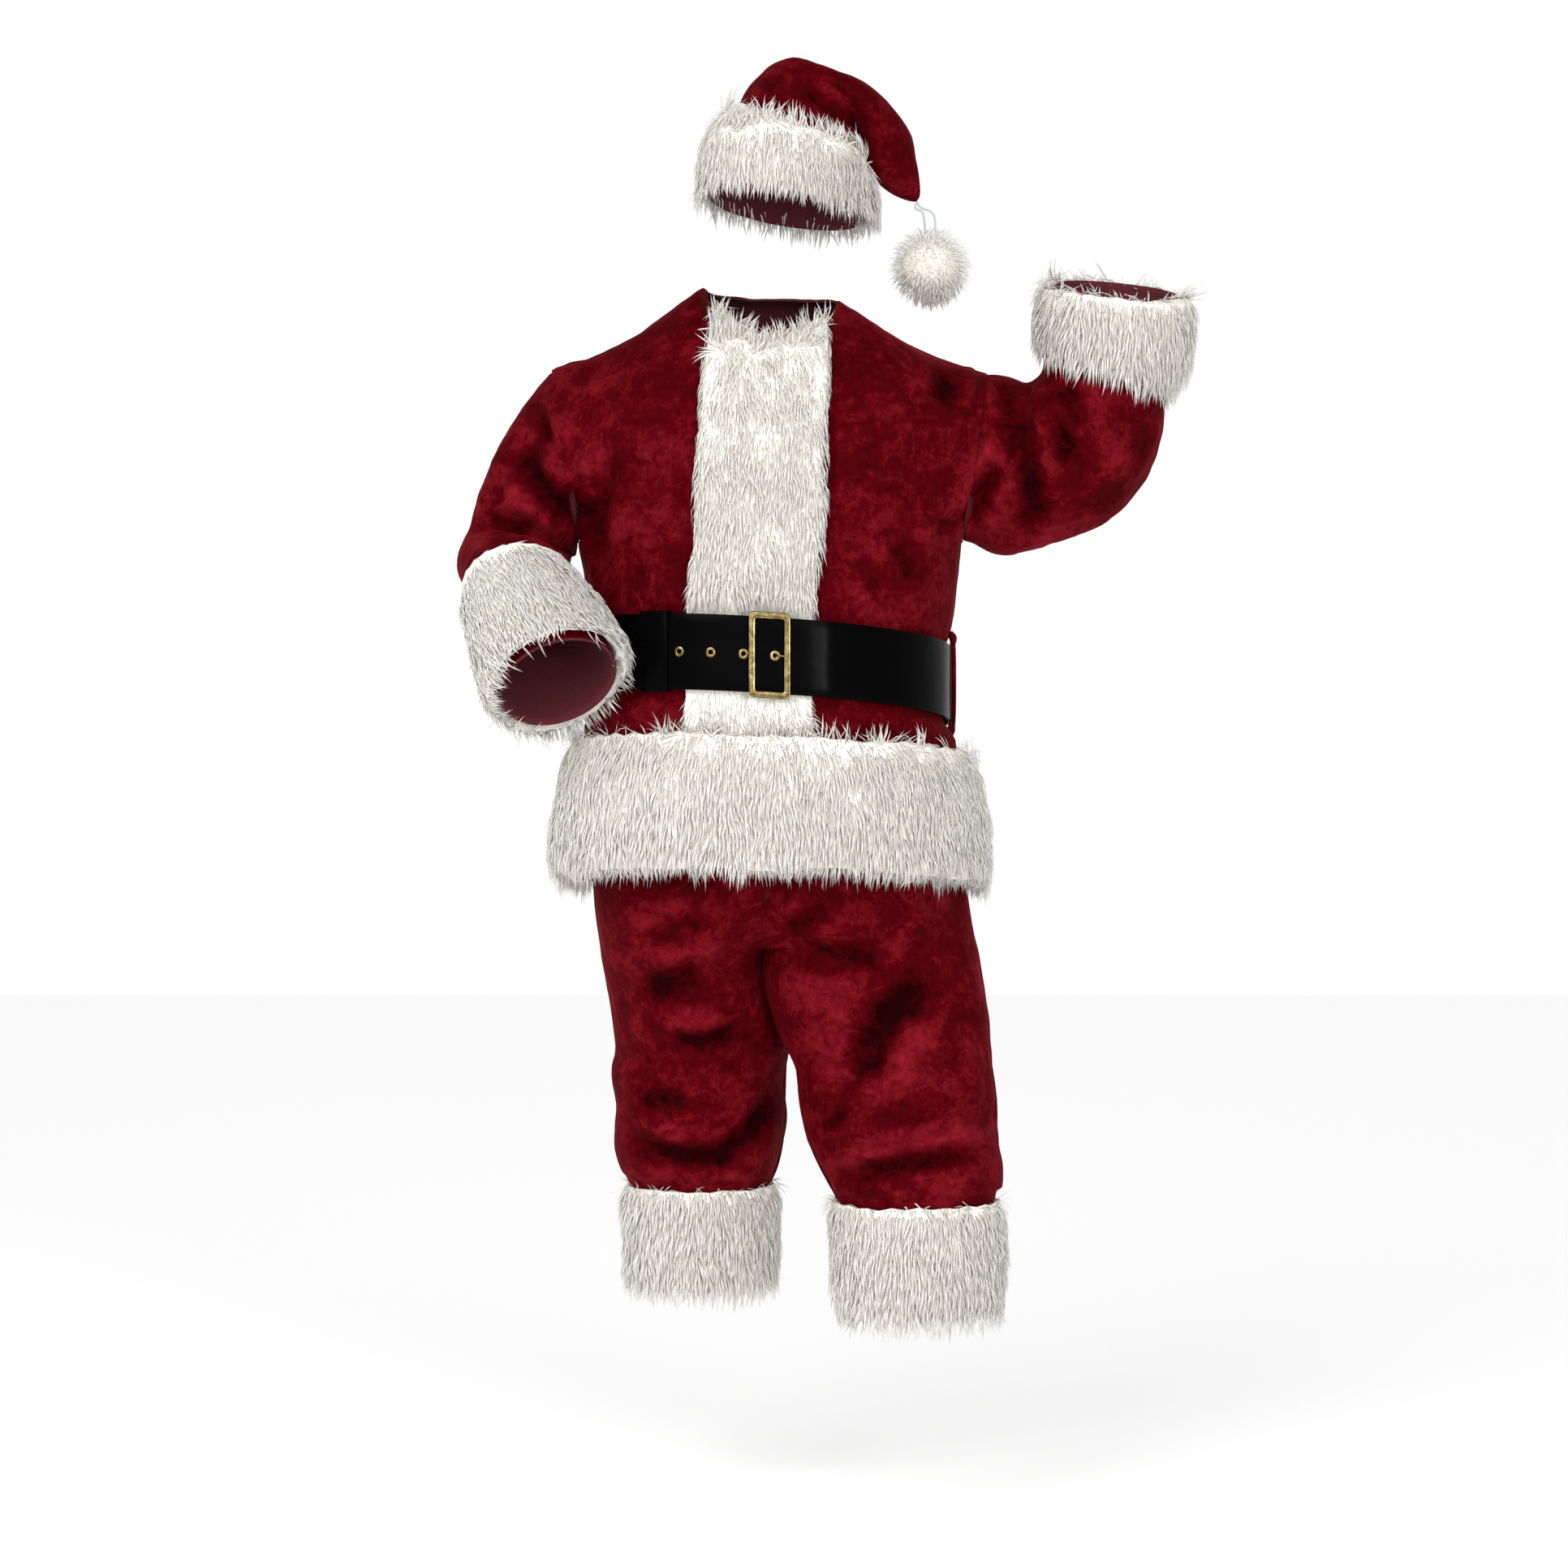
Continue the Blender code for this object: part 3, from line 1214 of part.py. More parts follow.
def build_prong(local, high):
    # From beside the centre bar, up through the eyelet, to rest on the far bar.
    deep = -LAYER_STEP - BAR_RADIUS + BAR_SINK
    top = high + PRONG_RADIUS + PRONG_GAP
    tube("buckle_prong", [
        local(BAR_RADIUS + PRONG_RADIUS + PRONG_GAP, 0.0, deep),
        local(PIN_OFFSET - 0.0012, 0.0, deep + 0.0010),
        local(PIN_OFFSET - 0.0003, 0.0, -0.0024),
        local(PIN_OFFSET, 0.0, 0.0008),
        local(PIN_OFFSET + 0.0030, 0.0, top),
        local(BUCKLE_WIDTH / 2.0 - PRONG_END, 0.0, top),
    ], PRONG_RADIUS, brass)


def build_keeper(route):
    # A band of patent round both layers of the strap.
    low = -LAYER_STEP - BELT_THICK - KEEPER_GAP
    high = KEEPER_ROOM
    up = BELT_HEIGHT / 2.0 + KEEPER_RISE
    wall = KEEPER_THICK
    inner = [(-up, low), (up, low), (up, high), (-up, high)]
    outer = [
        (-up - wall, low - wall), (up + wall, low - wall),
        (up + wall, high + wall), (-up - wall, high + wall),
    ]
    inner_rings = []
    outer_rings = []
    for step in range(KEEPER_STEPS + 1):
        turn = route.turn(KEEPER_START + KEEPER_WIDTH * step / KEEPER_STEPS)
        _, _, rise, out = waist_frame(turn, 0.0)
        face = strap_point(turn, 0.0, BELT_THICK)
        inner_rings.append([face + rise * height + out * lift for height, lift in inner])
        outer_rings.append([face + rise * height + out * lift for height, lift in outer])
    grid_solid("belt_keeper", inner_rings + outer_rings[::-1], patent, closed_run=True)


def carrier_point(turn, level):
    # Sewn to the jacket at its two ends, and over the strap between them.
    edge = max(-1.0, min(1.0, level))
    place, _, up, out = waist_frame(turn, edge)
    if abs(level) == CARRIER_END:
        section = blend(BODY, BELT_MIDDLE_ROW + level)
        cloth = belt_section_point(section, -turn, math.cos(turn) < 0.0)
        return cloth + out * CARRIER_SEWN
    lift = strap_lift(turn, place.x, False) + BELT_THICK + CARRIER_GAP
    return place + up * (level - edge) * BELT_HEIGHT / 2.0 + out * lift


def build_carriers():
    # Cloth loops at the side seams, sewn to the jacket above and below the belt.
    levels = (-CARRIER_END, -CARRIER_BEND, 0.0, CARRIER_BEND, CARRIER_END)
    half = CARRIER_WIDTH / 2.0 / BODY[BELT_MIDDLE_ROW].half
    for name, turn in (("left", math.pi / 2.0), ("right", 1.5 * math.pi)):
        grid = [
            [carrier_point(turn + column * half, level) for column in (-1, 0, 1)]
            for level in levels
        ]
        sheet = Sheet(grid)
        share_normals([sheet])
        middle = grid[2][1]
        if sheet.normals[2][1].x * middle.x < 0.0:
            sheet = Sheet([line[::-1] for line in grid])
            share_normals([sheet])
        panel(
            "belt_carrier_" + name, sheet, plush,
            inner=lambda row, column: 0.0, outer=lambda row, column: CARRIER_THICK,
        )


def build_belt():
    route = StrapRoute()
    build_strap(route)
    build_eyelets(route)
    build_buckle(route)
    build_keeper(route)
    build_carriers()


def main():
    fronts, back = build_jacket()
    build_jacket_fur(fronts, back)
    build_trousers()
    build_hat()
    build_pompom()
    build_loop()
    build_belt()


def clear_scene():
    for old in list(bpy.data.objects):
        bpy.data.objects.remove(old, do_unlink=True)


clear_scene()
suit = bpy.data.collections.new("santa_suit")
cutters = bpy.data.collections.new("cutters")
bpy.context.scene.collection.children.link(suit)
bpy.context.scene.collection.children.link(cutters)
plush = material("crimson_plush", RED, 0.85)
white = material("white_fur", FUR, 0.95)
patent = material("black_patent", BLACK, 0.22)
brass = material("aged_brass", BRASS, 0.32, 1.0)
cotton = material("grey_cord", CORD, 0.8)
main()
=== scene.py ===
import json
import math

import bmesh
import bpy
import numpy as np
from mathutils import Matrix, Vector, kdtree, noise
from mathutils.bvhtree import BVHTree

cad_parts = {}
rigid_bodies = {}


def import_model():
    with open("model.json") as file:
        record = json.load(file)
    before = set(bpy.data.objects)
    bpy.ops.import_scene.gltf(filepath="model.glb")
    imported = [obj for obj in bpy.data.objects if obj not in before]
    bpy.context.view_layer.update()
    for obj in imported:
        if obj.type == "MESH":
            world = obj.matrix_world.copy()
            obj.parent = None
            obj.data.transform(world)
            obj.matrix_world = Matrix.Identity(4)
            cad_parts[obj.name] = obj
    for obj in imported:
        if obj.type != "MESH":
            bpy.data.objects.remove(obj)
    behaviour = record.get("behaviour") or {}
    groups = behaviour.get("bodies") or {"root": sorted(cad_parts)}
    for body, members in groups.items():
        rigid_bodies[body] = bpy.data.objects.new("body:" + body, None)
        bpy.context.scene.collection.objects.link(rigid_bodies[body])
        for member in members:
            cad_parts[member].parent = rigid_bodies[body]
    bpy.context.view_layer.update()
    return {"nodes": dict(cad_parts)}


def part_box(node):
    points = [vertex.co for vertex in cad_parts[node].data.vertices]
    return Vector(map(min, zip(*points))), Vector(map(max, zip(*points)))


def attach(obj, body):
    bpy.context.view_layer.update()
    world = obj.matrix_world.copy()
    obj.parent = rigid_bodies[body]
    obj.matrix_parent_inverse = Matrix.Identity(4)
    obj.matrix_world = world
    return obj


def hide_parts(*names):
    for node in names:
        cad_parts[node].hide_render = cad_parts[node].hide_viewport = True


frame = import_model()
floorLevel = -1.55  # the wearer's floor, under the origin at the neck
print("stage: frame loaded,", len(frame["nodes"]), "pieces")


# Shader helpers: a wire is one socket, and arithmetic on wires adds Math nodes.

class Wire:
    def __init__(self, graph, socket):
        self.graph = graph
        self.socket = socket

    def maths(self, operation, first, second):
        return self.graph.add("ShaderNodeMath", {"operation": operation}, {0: first, 1: second})

    def __add__(self, other):
        return self.maths("ADD", self, other)

    def __radd__(self, other):
        return self.maths("ADD", other, self)

    def __mul__(self, other):
        return self.maths("MULTIPLY", self, other)

    def __rmul__(self, other):
        return self.maths("MULTIPLY", other, self)


class Graph:
    def __init__(self, tree):
        self.tree = tree

    def add(self, kind, settings=None, values=None, out=0):
        made = self.tree.nodes.new(kind)
        for key, value in (settings or {}).items():
            if key == "stops":
                ramp = made.color_ramp.elements
                while len(ramp) < len(value):
                    ramp.new(0.5)
                for stop, (place, colour) in zip(ramp, value):
                    stop.position = place
                    stop.color = (*colour, 1.0)
            else:
                setattr(made, key, value)
        for key, value in (values or {}).items():
            self.feed(made.inputs[key], value)
        return Wire(self, made.outputs[out])

    def feed(self, socket, value):
        if isinstance(value, Wire):
            self.tree.links.new(value.socket, socket)
        else:
            socket.default_value = value

    def mapped(self, wire, low, high, start=0.0, end=1.0):
        # Low where the wire is at start, high where it is at end.
        values = {0: wire, 1: start, 2: end, 3: low, 4: high}
        return self.add("ShaderNodeMapRange", None, values)


class Look(Graph):
    def __init__(self, name):
        self.material = bpy.data.materials.new(name)
        self.material.use_nodes = True
        super().__init__(self.material.node_tree)
        self.shader = self.tree.nodes["Principled BSDF"]

    def attribute(self, name):
        return self.add("ShaderNodeAttribute", {"attribute_name": name}, out=2)

    def noise(self, scale, detail, rough, twist=0.0, at=None):
        place = at or self.add("ShaderNodeTexCoord", out=3)
        values = {
            "Vector": place, "Scale": scale, "Detail": detail, "Roughness": rough,
            "Distortion": twist,
        }
        return self.add("ShaderNodeTexNoise", None, values)

    def stretchedNoise(self, sizes, detail, rough, twist=0.0):
        place = self.add("ShaderNodeTexCoord", out=3)
        place = self.add("ShaderNodeMapping", None, {"Vector": place, "Scale": sizes})
        return self.noise(1.0, detail, rough, twist, place)

    def ramp(self, wire, stops):
        return self.add("ShaderNodeValToRGB", {"stops": stops}, {0: wire})

    def multiplied(self, first, second):
        settings = {"data_type": "RGBA", "blend_type": "MULTIPLY"}
        return self.add("ShaderNodeMix", settings, {0: 1.0, 6: first, 7: second}, out=2)

    def bump(self, height, strength, distance):
        values = {"Strength": strength, "Distance": distance, "Height": height}
        return self.add("ShaderNodeBump", None, values)

    def shade(self, surface, colour, normal=None):
        # The surface is a dictionary of the shader's own sockets.
        self.feed(self.shader.inputs["Base Color"], colour)
        if normal:
            self.feed(self.shader.inputs["Normal"], normal)
        for socket, value in surface.items():
            self.feed(self.shader.inputs[socket], value)
        return self.material


plushLook = {
    "tones": [
        (0.31, (0.013, 0.0001, 0.0004)), (0.49, (0.072, 0.0004, 0.0028)),
        (0.68, (0.215, 0.0085, 0.0160)),
    ],
    # crushed nap, coarse to fine: waves per metre on each axis, detail, roughness, twist, share
    "naps": [
        ((9.0, 9.0, 13.0), 4.0, 0.55, 0.35, 0.38),
        ((34.0, 34.0, 44.0), 5.0, 0.65, 1.1, 0.34),
        ((150.0, 150.0, 105.0), 3.0, 0.6, 0.5, 0.20),
    ],
    "speckle": (520.0, 2.0, 0.7),
    "speckleShare": 0.08,
    "fold": 0.26,  # painted shade: how far a trough darkens the nap, and painted highlight: how far a ridge lights it
    "relief": (0.9, 0.10),  # shares of the nap and of the speckle in the bump
    "bump": (0.45, 0.004),
    "surface": {
        "Roughness": 0.78, "Sheen Weight": 0.40, "Sheen Roughness": 0.36,
        "Sheen Tint": (0.34, 0.012, 0.022, 1.0), "Specular IOR Level": 0.015,
    },
}


def makePlush(name, look):
    g = Look(name)
    naps = [
        g.stretchedNoise(sizes, detail, rough, twist) * share
        for sizes, detail, rough, twist, share in look["naps"]
    ]
    speckle = g.noise(*look["speckle"])
    crushed = sum(naps) + speckle * look["speckleShare"]
    # The nap's colour carries painted shade in each crease's trough and painted highlight on its
    # ridges.
    lit = crushed + g.attribute("fold") * look["fold"]
    nap, fine = look["relief"]
    bump = g.bump(crushed * nap + speckle * fine, *look["bump"])
    return g.shade(look["surface"], g.ramp(lit, look["tones"]), bump)


furLook = {
    "tones": [(0.0, (0.89, 0.850, 0.765)), (0.55, (0.96, 0.925, 0.845))],  # root to tip, darker at the root: painted shade where the locks crowd together
    "strands": (5.0, 1.2, 60.0),  # waves across a lock, along it, and from lock to lock
    "shadows": [(0.20, (0.93, 0.92, 0.90)), (0.62, (1.0, 1.0, 1.0))],
    "shadowShares": (0.6, 0.4),  # of the lock's own tone, and of its strands
    "bump": (0.3, 0.002),
    "surface": {
        "Roughness": 0.58, "Specular IOR Level": 0.25, "Sheen Weight": 0.12,
        "Sheen Roughness": 0.5, "Subsurface Weight": 0.5,
        "Subsurface Radius": (1.0, 0.95, 0.88), "Subsurface Scale": 0.006,
    },
}


def makeFur(name, look):
    g = Look(name)
    along, tone, across = [g.attribute(part) for part in ("along", "tone", "across")]
    wide, long, apart = look["strands"]
    place = {0: across * wide, 1: along * long, 2: tone * apart}
    strands = g.noise(1.0, 2.0, 0.6, at=g.add("ShaderNodeCombineXYZ", None, place))
    own, shared = look["shadowShares"]
    shadow = g.ramp(tone * own + strands * shared, look["shadows"])
    # Each lock runs from painted shade at its root to its lighter tip, times its shadows.
    colour = g.multiplied(g.ramp(along, look["tones"]), shadow)
    return g.shade(look["surface"], colour, g.bump(strands, *look["bump"]))


# The plain cloths that show on the wrong sides of the fur and the plush.
furBack = {
    "rows": ((520.0, 520.0, 60.0), 3.0, 0.6),
    "tones": [(0.3, (0.85, 0.825, 0.75)), (0.7, (0.92, 0.900, 0.825))],
    "bump": (0.4, 0.003),
    "surface": {"Roughness": 0.9, "Specular IOR Level": 0.1},
}
plushBack = {
    "rows": ((900.0, 900.0, 420.0), 2.0, 0.5),
    "tones": [(0.3, (0.050, 0.002, 0.005)), (0.7, (0.120, 0.008, 0.015))],
    "bump": (0.4, 0.001),
    "surface": {"Roughness": 0.9},
}


def makeWeave(name, look):
    g = Look(name)
    rows = g.stretchedNoise(*look["rows"])
    return g.shade(look["surface"], g.ramp(rows, look["tones"]), g.bump(rows, *look["bump"]))


patentLook = {
    "colour": (0.0012, 0.0012, 0.0013, 1.0),
    "ripple": (14.0, 2.0, 0.5, 0.3),
    "grain": (210.0, 2.0, 0.5),
    "relief": (0.9, 0.02),  # shares of the ripple and of the grain in the bump
    "bump": (0.35, 0.006),
    "rough": (0.20, 0.25),
    "shine": 0.022,
}


def makePatent(name, look):
    g = Look(name)
    ripple, grain = g.noise(*look["ripple"]), g.noise(*look["grain"])
    coarse, fine = look["relief"]
    bump = g.bump(ripple * coarse + grain * fine, *look["bump"])
    surface = {"Roughness": g.mapped(grain, *look["rough"]), "Specular IOR Level": look["shine"]}
    return g.shade(surface, look["colour"], bump)


brassLook = {
    "worn": (120.0, 4.0, 0.6, 0.4),
    "tones": [
        (0.32, (0.13, 0.092, 0.034)), (0.52, (0.25, 0.185, 0.075)), (0.72, (0.46, 0.36, 0.17)),
    ],
    "bump": (0.12, 0.001),
    "rough": (0.19, 0.09),
}


def makeBrass(name, look):
    g = Look(name)
    worn = g.noise(*look["worn"])
    surface = {"Metallic": 1.0, "Roughness": g.mapped(worn, *look["rough"])}
    return g.shade(surface, g.ramp(worn, look["tones"]), g.bump(worn, *look["bump"]))


threadLook = {
    "colour": (0.46, 0.50, 0.53, 1.0), "fibre": (1400.0, 2.0, 0.5), "bump": (0.4, 0.001),
    "surface": {"Roughness": 0.7},
}


def makeThread(name, look):
    g = Look(name)
    bump = g.bump(g.noise(*look["fibre"]), *look["bump"])
    return g.shade(look["surface"], look["colour"], bump)


plush = makePlush("crimsonPlush", plushLook)
knit = makeWeave("plushBack", plushBack)
whiteFur = makeFur("whiteFur", furLook)
backing = makeWeave("furBacking", furBack)
patent = makePatent("blackPatent", patentLook)
brass = makeBrass("agedBrass", brassLook)
thread = makeThread("greyThread", threadLook)
print("stage: materials made")


# Helpers for numbers that stand for many points at once.

def ramped(values, low, high):
    # 0 up to low, 1 from high on, straight between them.
    return np.clip((values - low) / (high - low), 0.0, 1.0)


def eased(values, low, high):
    share = ramped(values, low, high)
    return share * share * (3.0 - 2.0 * share)


def bell(gaps, width):
    return np.exp(-(gaps / width) ** 2)


def unit(vectors):
    return vectors / np.maximum(np.linalg.norm(vectors, axis=-1, keepdims=True), 1e-9)


def waves(places, scale, shift=(0.0, 0.0, 0.0)):
    shift = Vector(shift)
    return np.array([noise.noise(Vector(place) * scale + shift) for place in places])


def swollen(places, across, height, radius, most):
    # A round bulge about a line that runs from front to back.
    return most * bell(np.hypot(places[:, 0] - across, places[:, 2] - height), radius)


def surfacesOf(nodes):
    # One search tree over the solids of some nodes.
    points = []
    faces = []
    for node in nodes:
        data = frame["nodes"][node].data
        base = len(points)
        points += [vert.co.copy() for vert in data.vertices]
        faces += [[base + index for index in face.vertices] for face in data.polygons]
    return BVHTree.FromPolygons(points, faces)


def gapsTo(tree, places, far):
    # Distance from each place to a tree's nearest face, and far where it is further off.
    gaps = [tree.find_nearest(Vector(place), far)[3] for place in places]
    return np.array([far if gap is None else gap for gap in gaps])


# Mesh helpers.

mergeMake = {
    "weld": 0.00003,
    "flatWithin": math.radians(50.0),  # triangles that turn less than this may join to a square
    "squareWithin": math.radians(60.0),
}


def mergedCopy(node):
    mesh = bmesh.new()
    mesh.from_mesh(frame["nodes"][node].data)
    bmesh.ops.remove_doubles(mesh, verts=mesh.verts, dist=mergeMake["weld"])
    bmesh.ops.join_triangles(
        mesh, faces=mesh.faces, angle_face_threshold=mergeMake["flatWithin"],
        angle_shape_threshold=mergeMake["squareWithin"])
    return mesh


def toObject(mesh, name, look):
    data = bpy.data.meshes.new(name)
    mesh.to_mesh(data)
    mesh.free()
    made = bpy.data.objects.new(name, data)
    bpy.context.scene.collection.objects.link(made)
    data.materials.clear()
    data.materials.append(look)
    data.shade_smooth()
    return made


def regionsOf(mesh, limit):
    # Groups of faces that meet at soft edges only.
    mesh.faces.ensure_lookup_table()
    seen = {}
    groups = []
    for start in mesh.faces:
        if start.index in seen:
            continue
        group = [start]
        seen[start.index] = len(groups)
        for face in group:
            for edge in face.edges:
                if len(edge.link_faces) != 2 or edge.calc_face_angle() > limit:
                    continue
                for near in edge.link_faces:
                    if near.index not in seen:
                        seen[near.index] = len(groups)
                        group.append(near)
        groups.append(group)
    return sorted(groups, key=lambda group: -sum(face.calc_area() for face in group))


def applied(obj):
    graph = bpy.context.evaluated_depsgraph_get()
    data = bpy.data.meshes.new_from_object(obj.evaluated_get(graph))
    obj.modifiers.clear()
    obj.data = data
    return obj


def subdivided(obj, levels):
    surface = obj.modifiers.new("smoothing", "SUBSURF")
    surface.levels = levels
    surface.render_levels = levels
    return applied(obj)


def readOut(source, key, width=1):
    values = np.empty(len(source) * width)
    source.foreach_get(key, values)
    return values.reshape(-1, width) if width > 1 else values


def coordinates(obj):
    verts = obj.data.vertices
    return readOut(verts, "co", 3), readOut(verts, "normal", 3)


def setCoordinates(obj, places):
    obj.data.vertices.foreach_set("co", places.ravel())
    obj.data.update()


def setAttribute(piece, name, kind, values):
    made = piece.data.attributes.new(name, kind, "POINT")
    made.data.foreach_set("vector" if kind == "FLOAT_VECTOR" else "value", np.ravel(values))


def sharpEdges(mesh, limit):
    return [
        edge for edge in mesh.edges
        if len(edge.link_faces) == 2 and edge.calc_face_angle() > limit
    ]


def wallArea(piece):
    return sum(polygon.area for polygon in piece.data.polygons) / 2.0


def triangles(piece):
    return sum(len(polygon.vertices) - 2 for polygon in piece.data.polygons)


def declare(piece, slot, *nodes):
    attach(piece, "root")
    if nodes:
        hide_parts(*nodes)


# Cloth: each panel is a thin shell on its solid's form, with its listed creases.

eye = Vector((0.0172, -5.5, -0.45))  # where the camera stands

clothMake = {
    "levels": 2,
    "outer": 0.99,  # points whose side is over this are wholly on the outer one
    "softEdge": math.radians(52.0),  # edges softer than this don't part a wall's two sides
    "bentSoftEdge": math.radians(40.0),  # and on the bent sleeve
    "hardEdge": 0.9,  # edges harder than this stay hard in the subdivision
    "rumple": ((11.0, 0.0042), (26.0, 0.0020), (61.0, 0.0009)),  # waves per metre, height
    "rumpleLong": (1.0, 1.0, 0.62),  # rumples are longer up and down
    "rumpleShift": (3.1, 1.7, 0.0),
    "slack": (0.245, 0.320, 0.9),  # the sleeves rumple more: from, to this far out, how much
    "widen": 1.3,  # how much wider than its line in the tables a crease runs
    "deep": {"arms": 1.15, "legs": 0.80, "hat": 1.25},  # and how much deeper
    "turned": 1.6,  # how soon a crease fades where the cloth turns away
    "taper": 0.24,  # the share of a crease's length in which each end fades
    "endDepth": 0.25,  # its depth at its ends, as a share of its middle's
    "pastEnd": 0.5,  # and of that, past them
    "lips": (1.9, 0.38),  # how far off, in widths, and how high a crease's lips stand
    "shadeWidth": 1.2,  # how much wider than a crease its painted shade on the nap is
    "shadeLips": (2.0, 0.35),  # and the lips of that painted shade, painted highlight beside a trough
    "ridge": 0.62,  # how much of its painted shade a ridge keeps, as painted highlight
    "deepest": 0.0150,  # a fold this deep has the darkest painted shade or brightest painted highlight on the nap
    "lowest": -0.017,  # no point sinks further
    "clear": 0.012,  # cloth nearer than this to a trim or the belt lies flatter
    "touch": 0.004,  # and nearer than this, flat
    "held": 0.7,  # how much of a trough goes there
    "tucked": 0.0012,  # and how far back it lies
    "thigh": (-0.965, 0.04, -0.760, 0.09, 0.0105),  # from height, in, to height, in, most
    "thighMiddle": (0.012, 0.06),  # across, and how wide
    "loopFull": 0.005,  # a belt carrier's padding
    "hug": 0.010,  # a carrier's inner face lies against the strap from this near
    "hugGap": 0.0007,
    # the bent sleeve's elbow
    "elbow": (-0.364, -0.203, 0.02),  # across, height, behind which nothing is evened
    "evenRadii": (0.055, 0.045, 0.035),
    "evenRounds": 9,
    "bend": (-0.285, -0.195, 0.075, 0.0055),  # across, height, radius, most
    # the hat
    "crook": (0.110, 0.262, 0.036, 0.0125),  # across, height, radius, most
    "under": (0.150, 0.228, 0.042, 0.013),
    "underWay": (-0.86, -0.5),  # the way its faces look, across and up
    "limb": (0.060, 0.115, 0.0095),  # from this far out, to this far out, most
    "tip": (0.200, 0.196),
    "tipReach": 0.075,  # the limb narrows from this far off its tip
    "tipPower": 1.5,
    "tipDraw": 0.022,  # how much of the crown is drawn down to the loop's topmost part
    "loopTop": 0.004,
}

# A crease is its line as seen from the front (across and height, knot by knot), then its width
# and its height, which is negative in a trough: all in millimetres.
frontCreases = {
    "arms": [
        (-299, -48, -264, -41, -232, -37, 9, 5.0), (-270, -49, -238, -49, 6, -4.0),
        (-299, -72, -286, -106, -270, -139, 6, 5.0), (-307, -91, -295, -141, 10, -8.0),
        (-328, -123, -317, -168, -291, -208, -248, -251, 13, -13.0),
        (-306, -150, -286, -189, -254, -232, 10, 6.0),
        (-270, -187, -254, -219, -234, -237, 10, -8.0), (-224, -133, -248, -182, 11, 6.0),
        (-219, -161, -229, -241, -231, -307, 10, -8.0), (-368, -190, -353, -216, 10, -8.0),
        (-360, -183, -342, -212, -304, -228, -277, -245, 9, 6.0),
        (-385, -245, -349, -251, -307, -257, 12, -10.0), (-400, -328, -363, -298, 10, -5.0),
        (-333, -54, -346, -102, -363, -150, 12, 5.0), (-178, -290, -180, -338, 9, -4.0),
        (240, -31, 224, -86, 13, -9.0), (277, -27, 278, -54, 276, -98, 6, -5.0),
        (304, -113, 285, -159, 266, -190, 249, -242, 9, 7.0),
        (307, -145, 281, -190, 262, -231, 254, -259, 9, -9.0),
        (321, -46, 311, -79, 311, -111, 314, -176, 9, -10.0),
        (334, -51, 338, -111, 342, -155, 347, -218, 331, -252, 306, -269, 10, -11.0),
        (360, -61, 369, -101, 385, -130, 388, -176, 9, -9.0),
        (354, -86, 363, -134, 374, -183, 379, -226, 10, 5.0),
        (382, -58, 401, -89, 410, -119, 9, -8.0), (426, -89, 448, -136, 460, -184, 12, 6.0),
        (493, -107, 504, -156, 11, -5.0), (419, -236, 446, -204, 478, -193, 11, -5.0),
        (114, -279, 148, -334, 10, -5.0), (168, -258, 192, -322, 11, -5.0),
        (233, -234, 230, -260, 9, -6.0),
    ],
    "legs": [
        (-177, -808, -85, -765, 14, -8.0), (-183, -821, -118, -813, -52, -798, 11, 7.0),
        (-176, -862, -83, -831, 16, -9.0), (-148, -917, -88, -928, -35, -908, 8, -8.0),
        (-156, -905, -107, -909, -48, -892, 10, 6.0), (-199, -946, -192, -967, -188, -994, 15, 5.0),
        (-183, -1016, -105, -1001, 13, -8.0),
        (-202, -1031, -161, -1071, -107, -1080, -66, -1079, -31, -1052, -4, -1014, 17, -980, 10,
         -12.0), (-161, -1050, -107, -1059, -54, -1034, 11, 6.0),
        (-19, -774, -12, -852, 16, -916, 9, -6.0), (-4, -770, 68, -732, 11, 5.0),
        (11, -786, 80, -746, 11, -8.0), (13, -805, 96, -819, 175, -809, 14, -9.0),
        (226, -821, 166, -882, 134, -936, 105, -992, 17, -14.0),
        (194, -892, 172, -935, 156, -967, 13, 6.0), (105, -1004, 154, -983, 205, -974, 12, 8.0),
        (75, -1021, 95, -1037, 14, -8.0), (67, -1096, 154, -1074, 230, -1059, 290, -1051, 10, 9.0),
        (75, -1112, 154, -1093, 230, -1079, 288, -1072, 9, -9.0),
        (261, -775, 276, -891, 281, -1025, 13, 5.0), (285, -1023, 303, -1032, 9, -6.0),
    ],
    "hat": [
        (43, 338, 101, 281, 6, -6.5), (54, 346, 118, 290, 9, 3.0),
        (120, 323, 159, 264, 172, 204, 11, -1.2), (-27, 350, 11, 333, 9, -4.0),
    ],
}

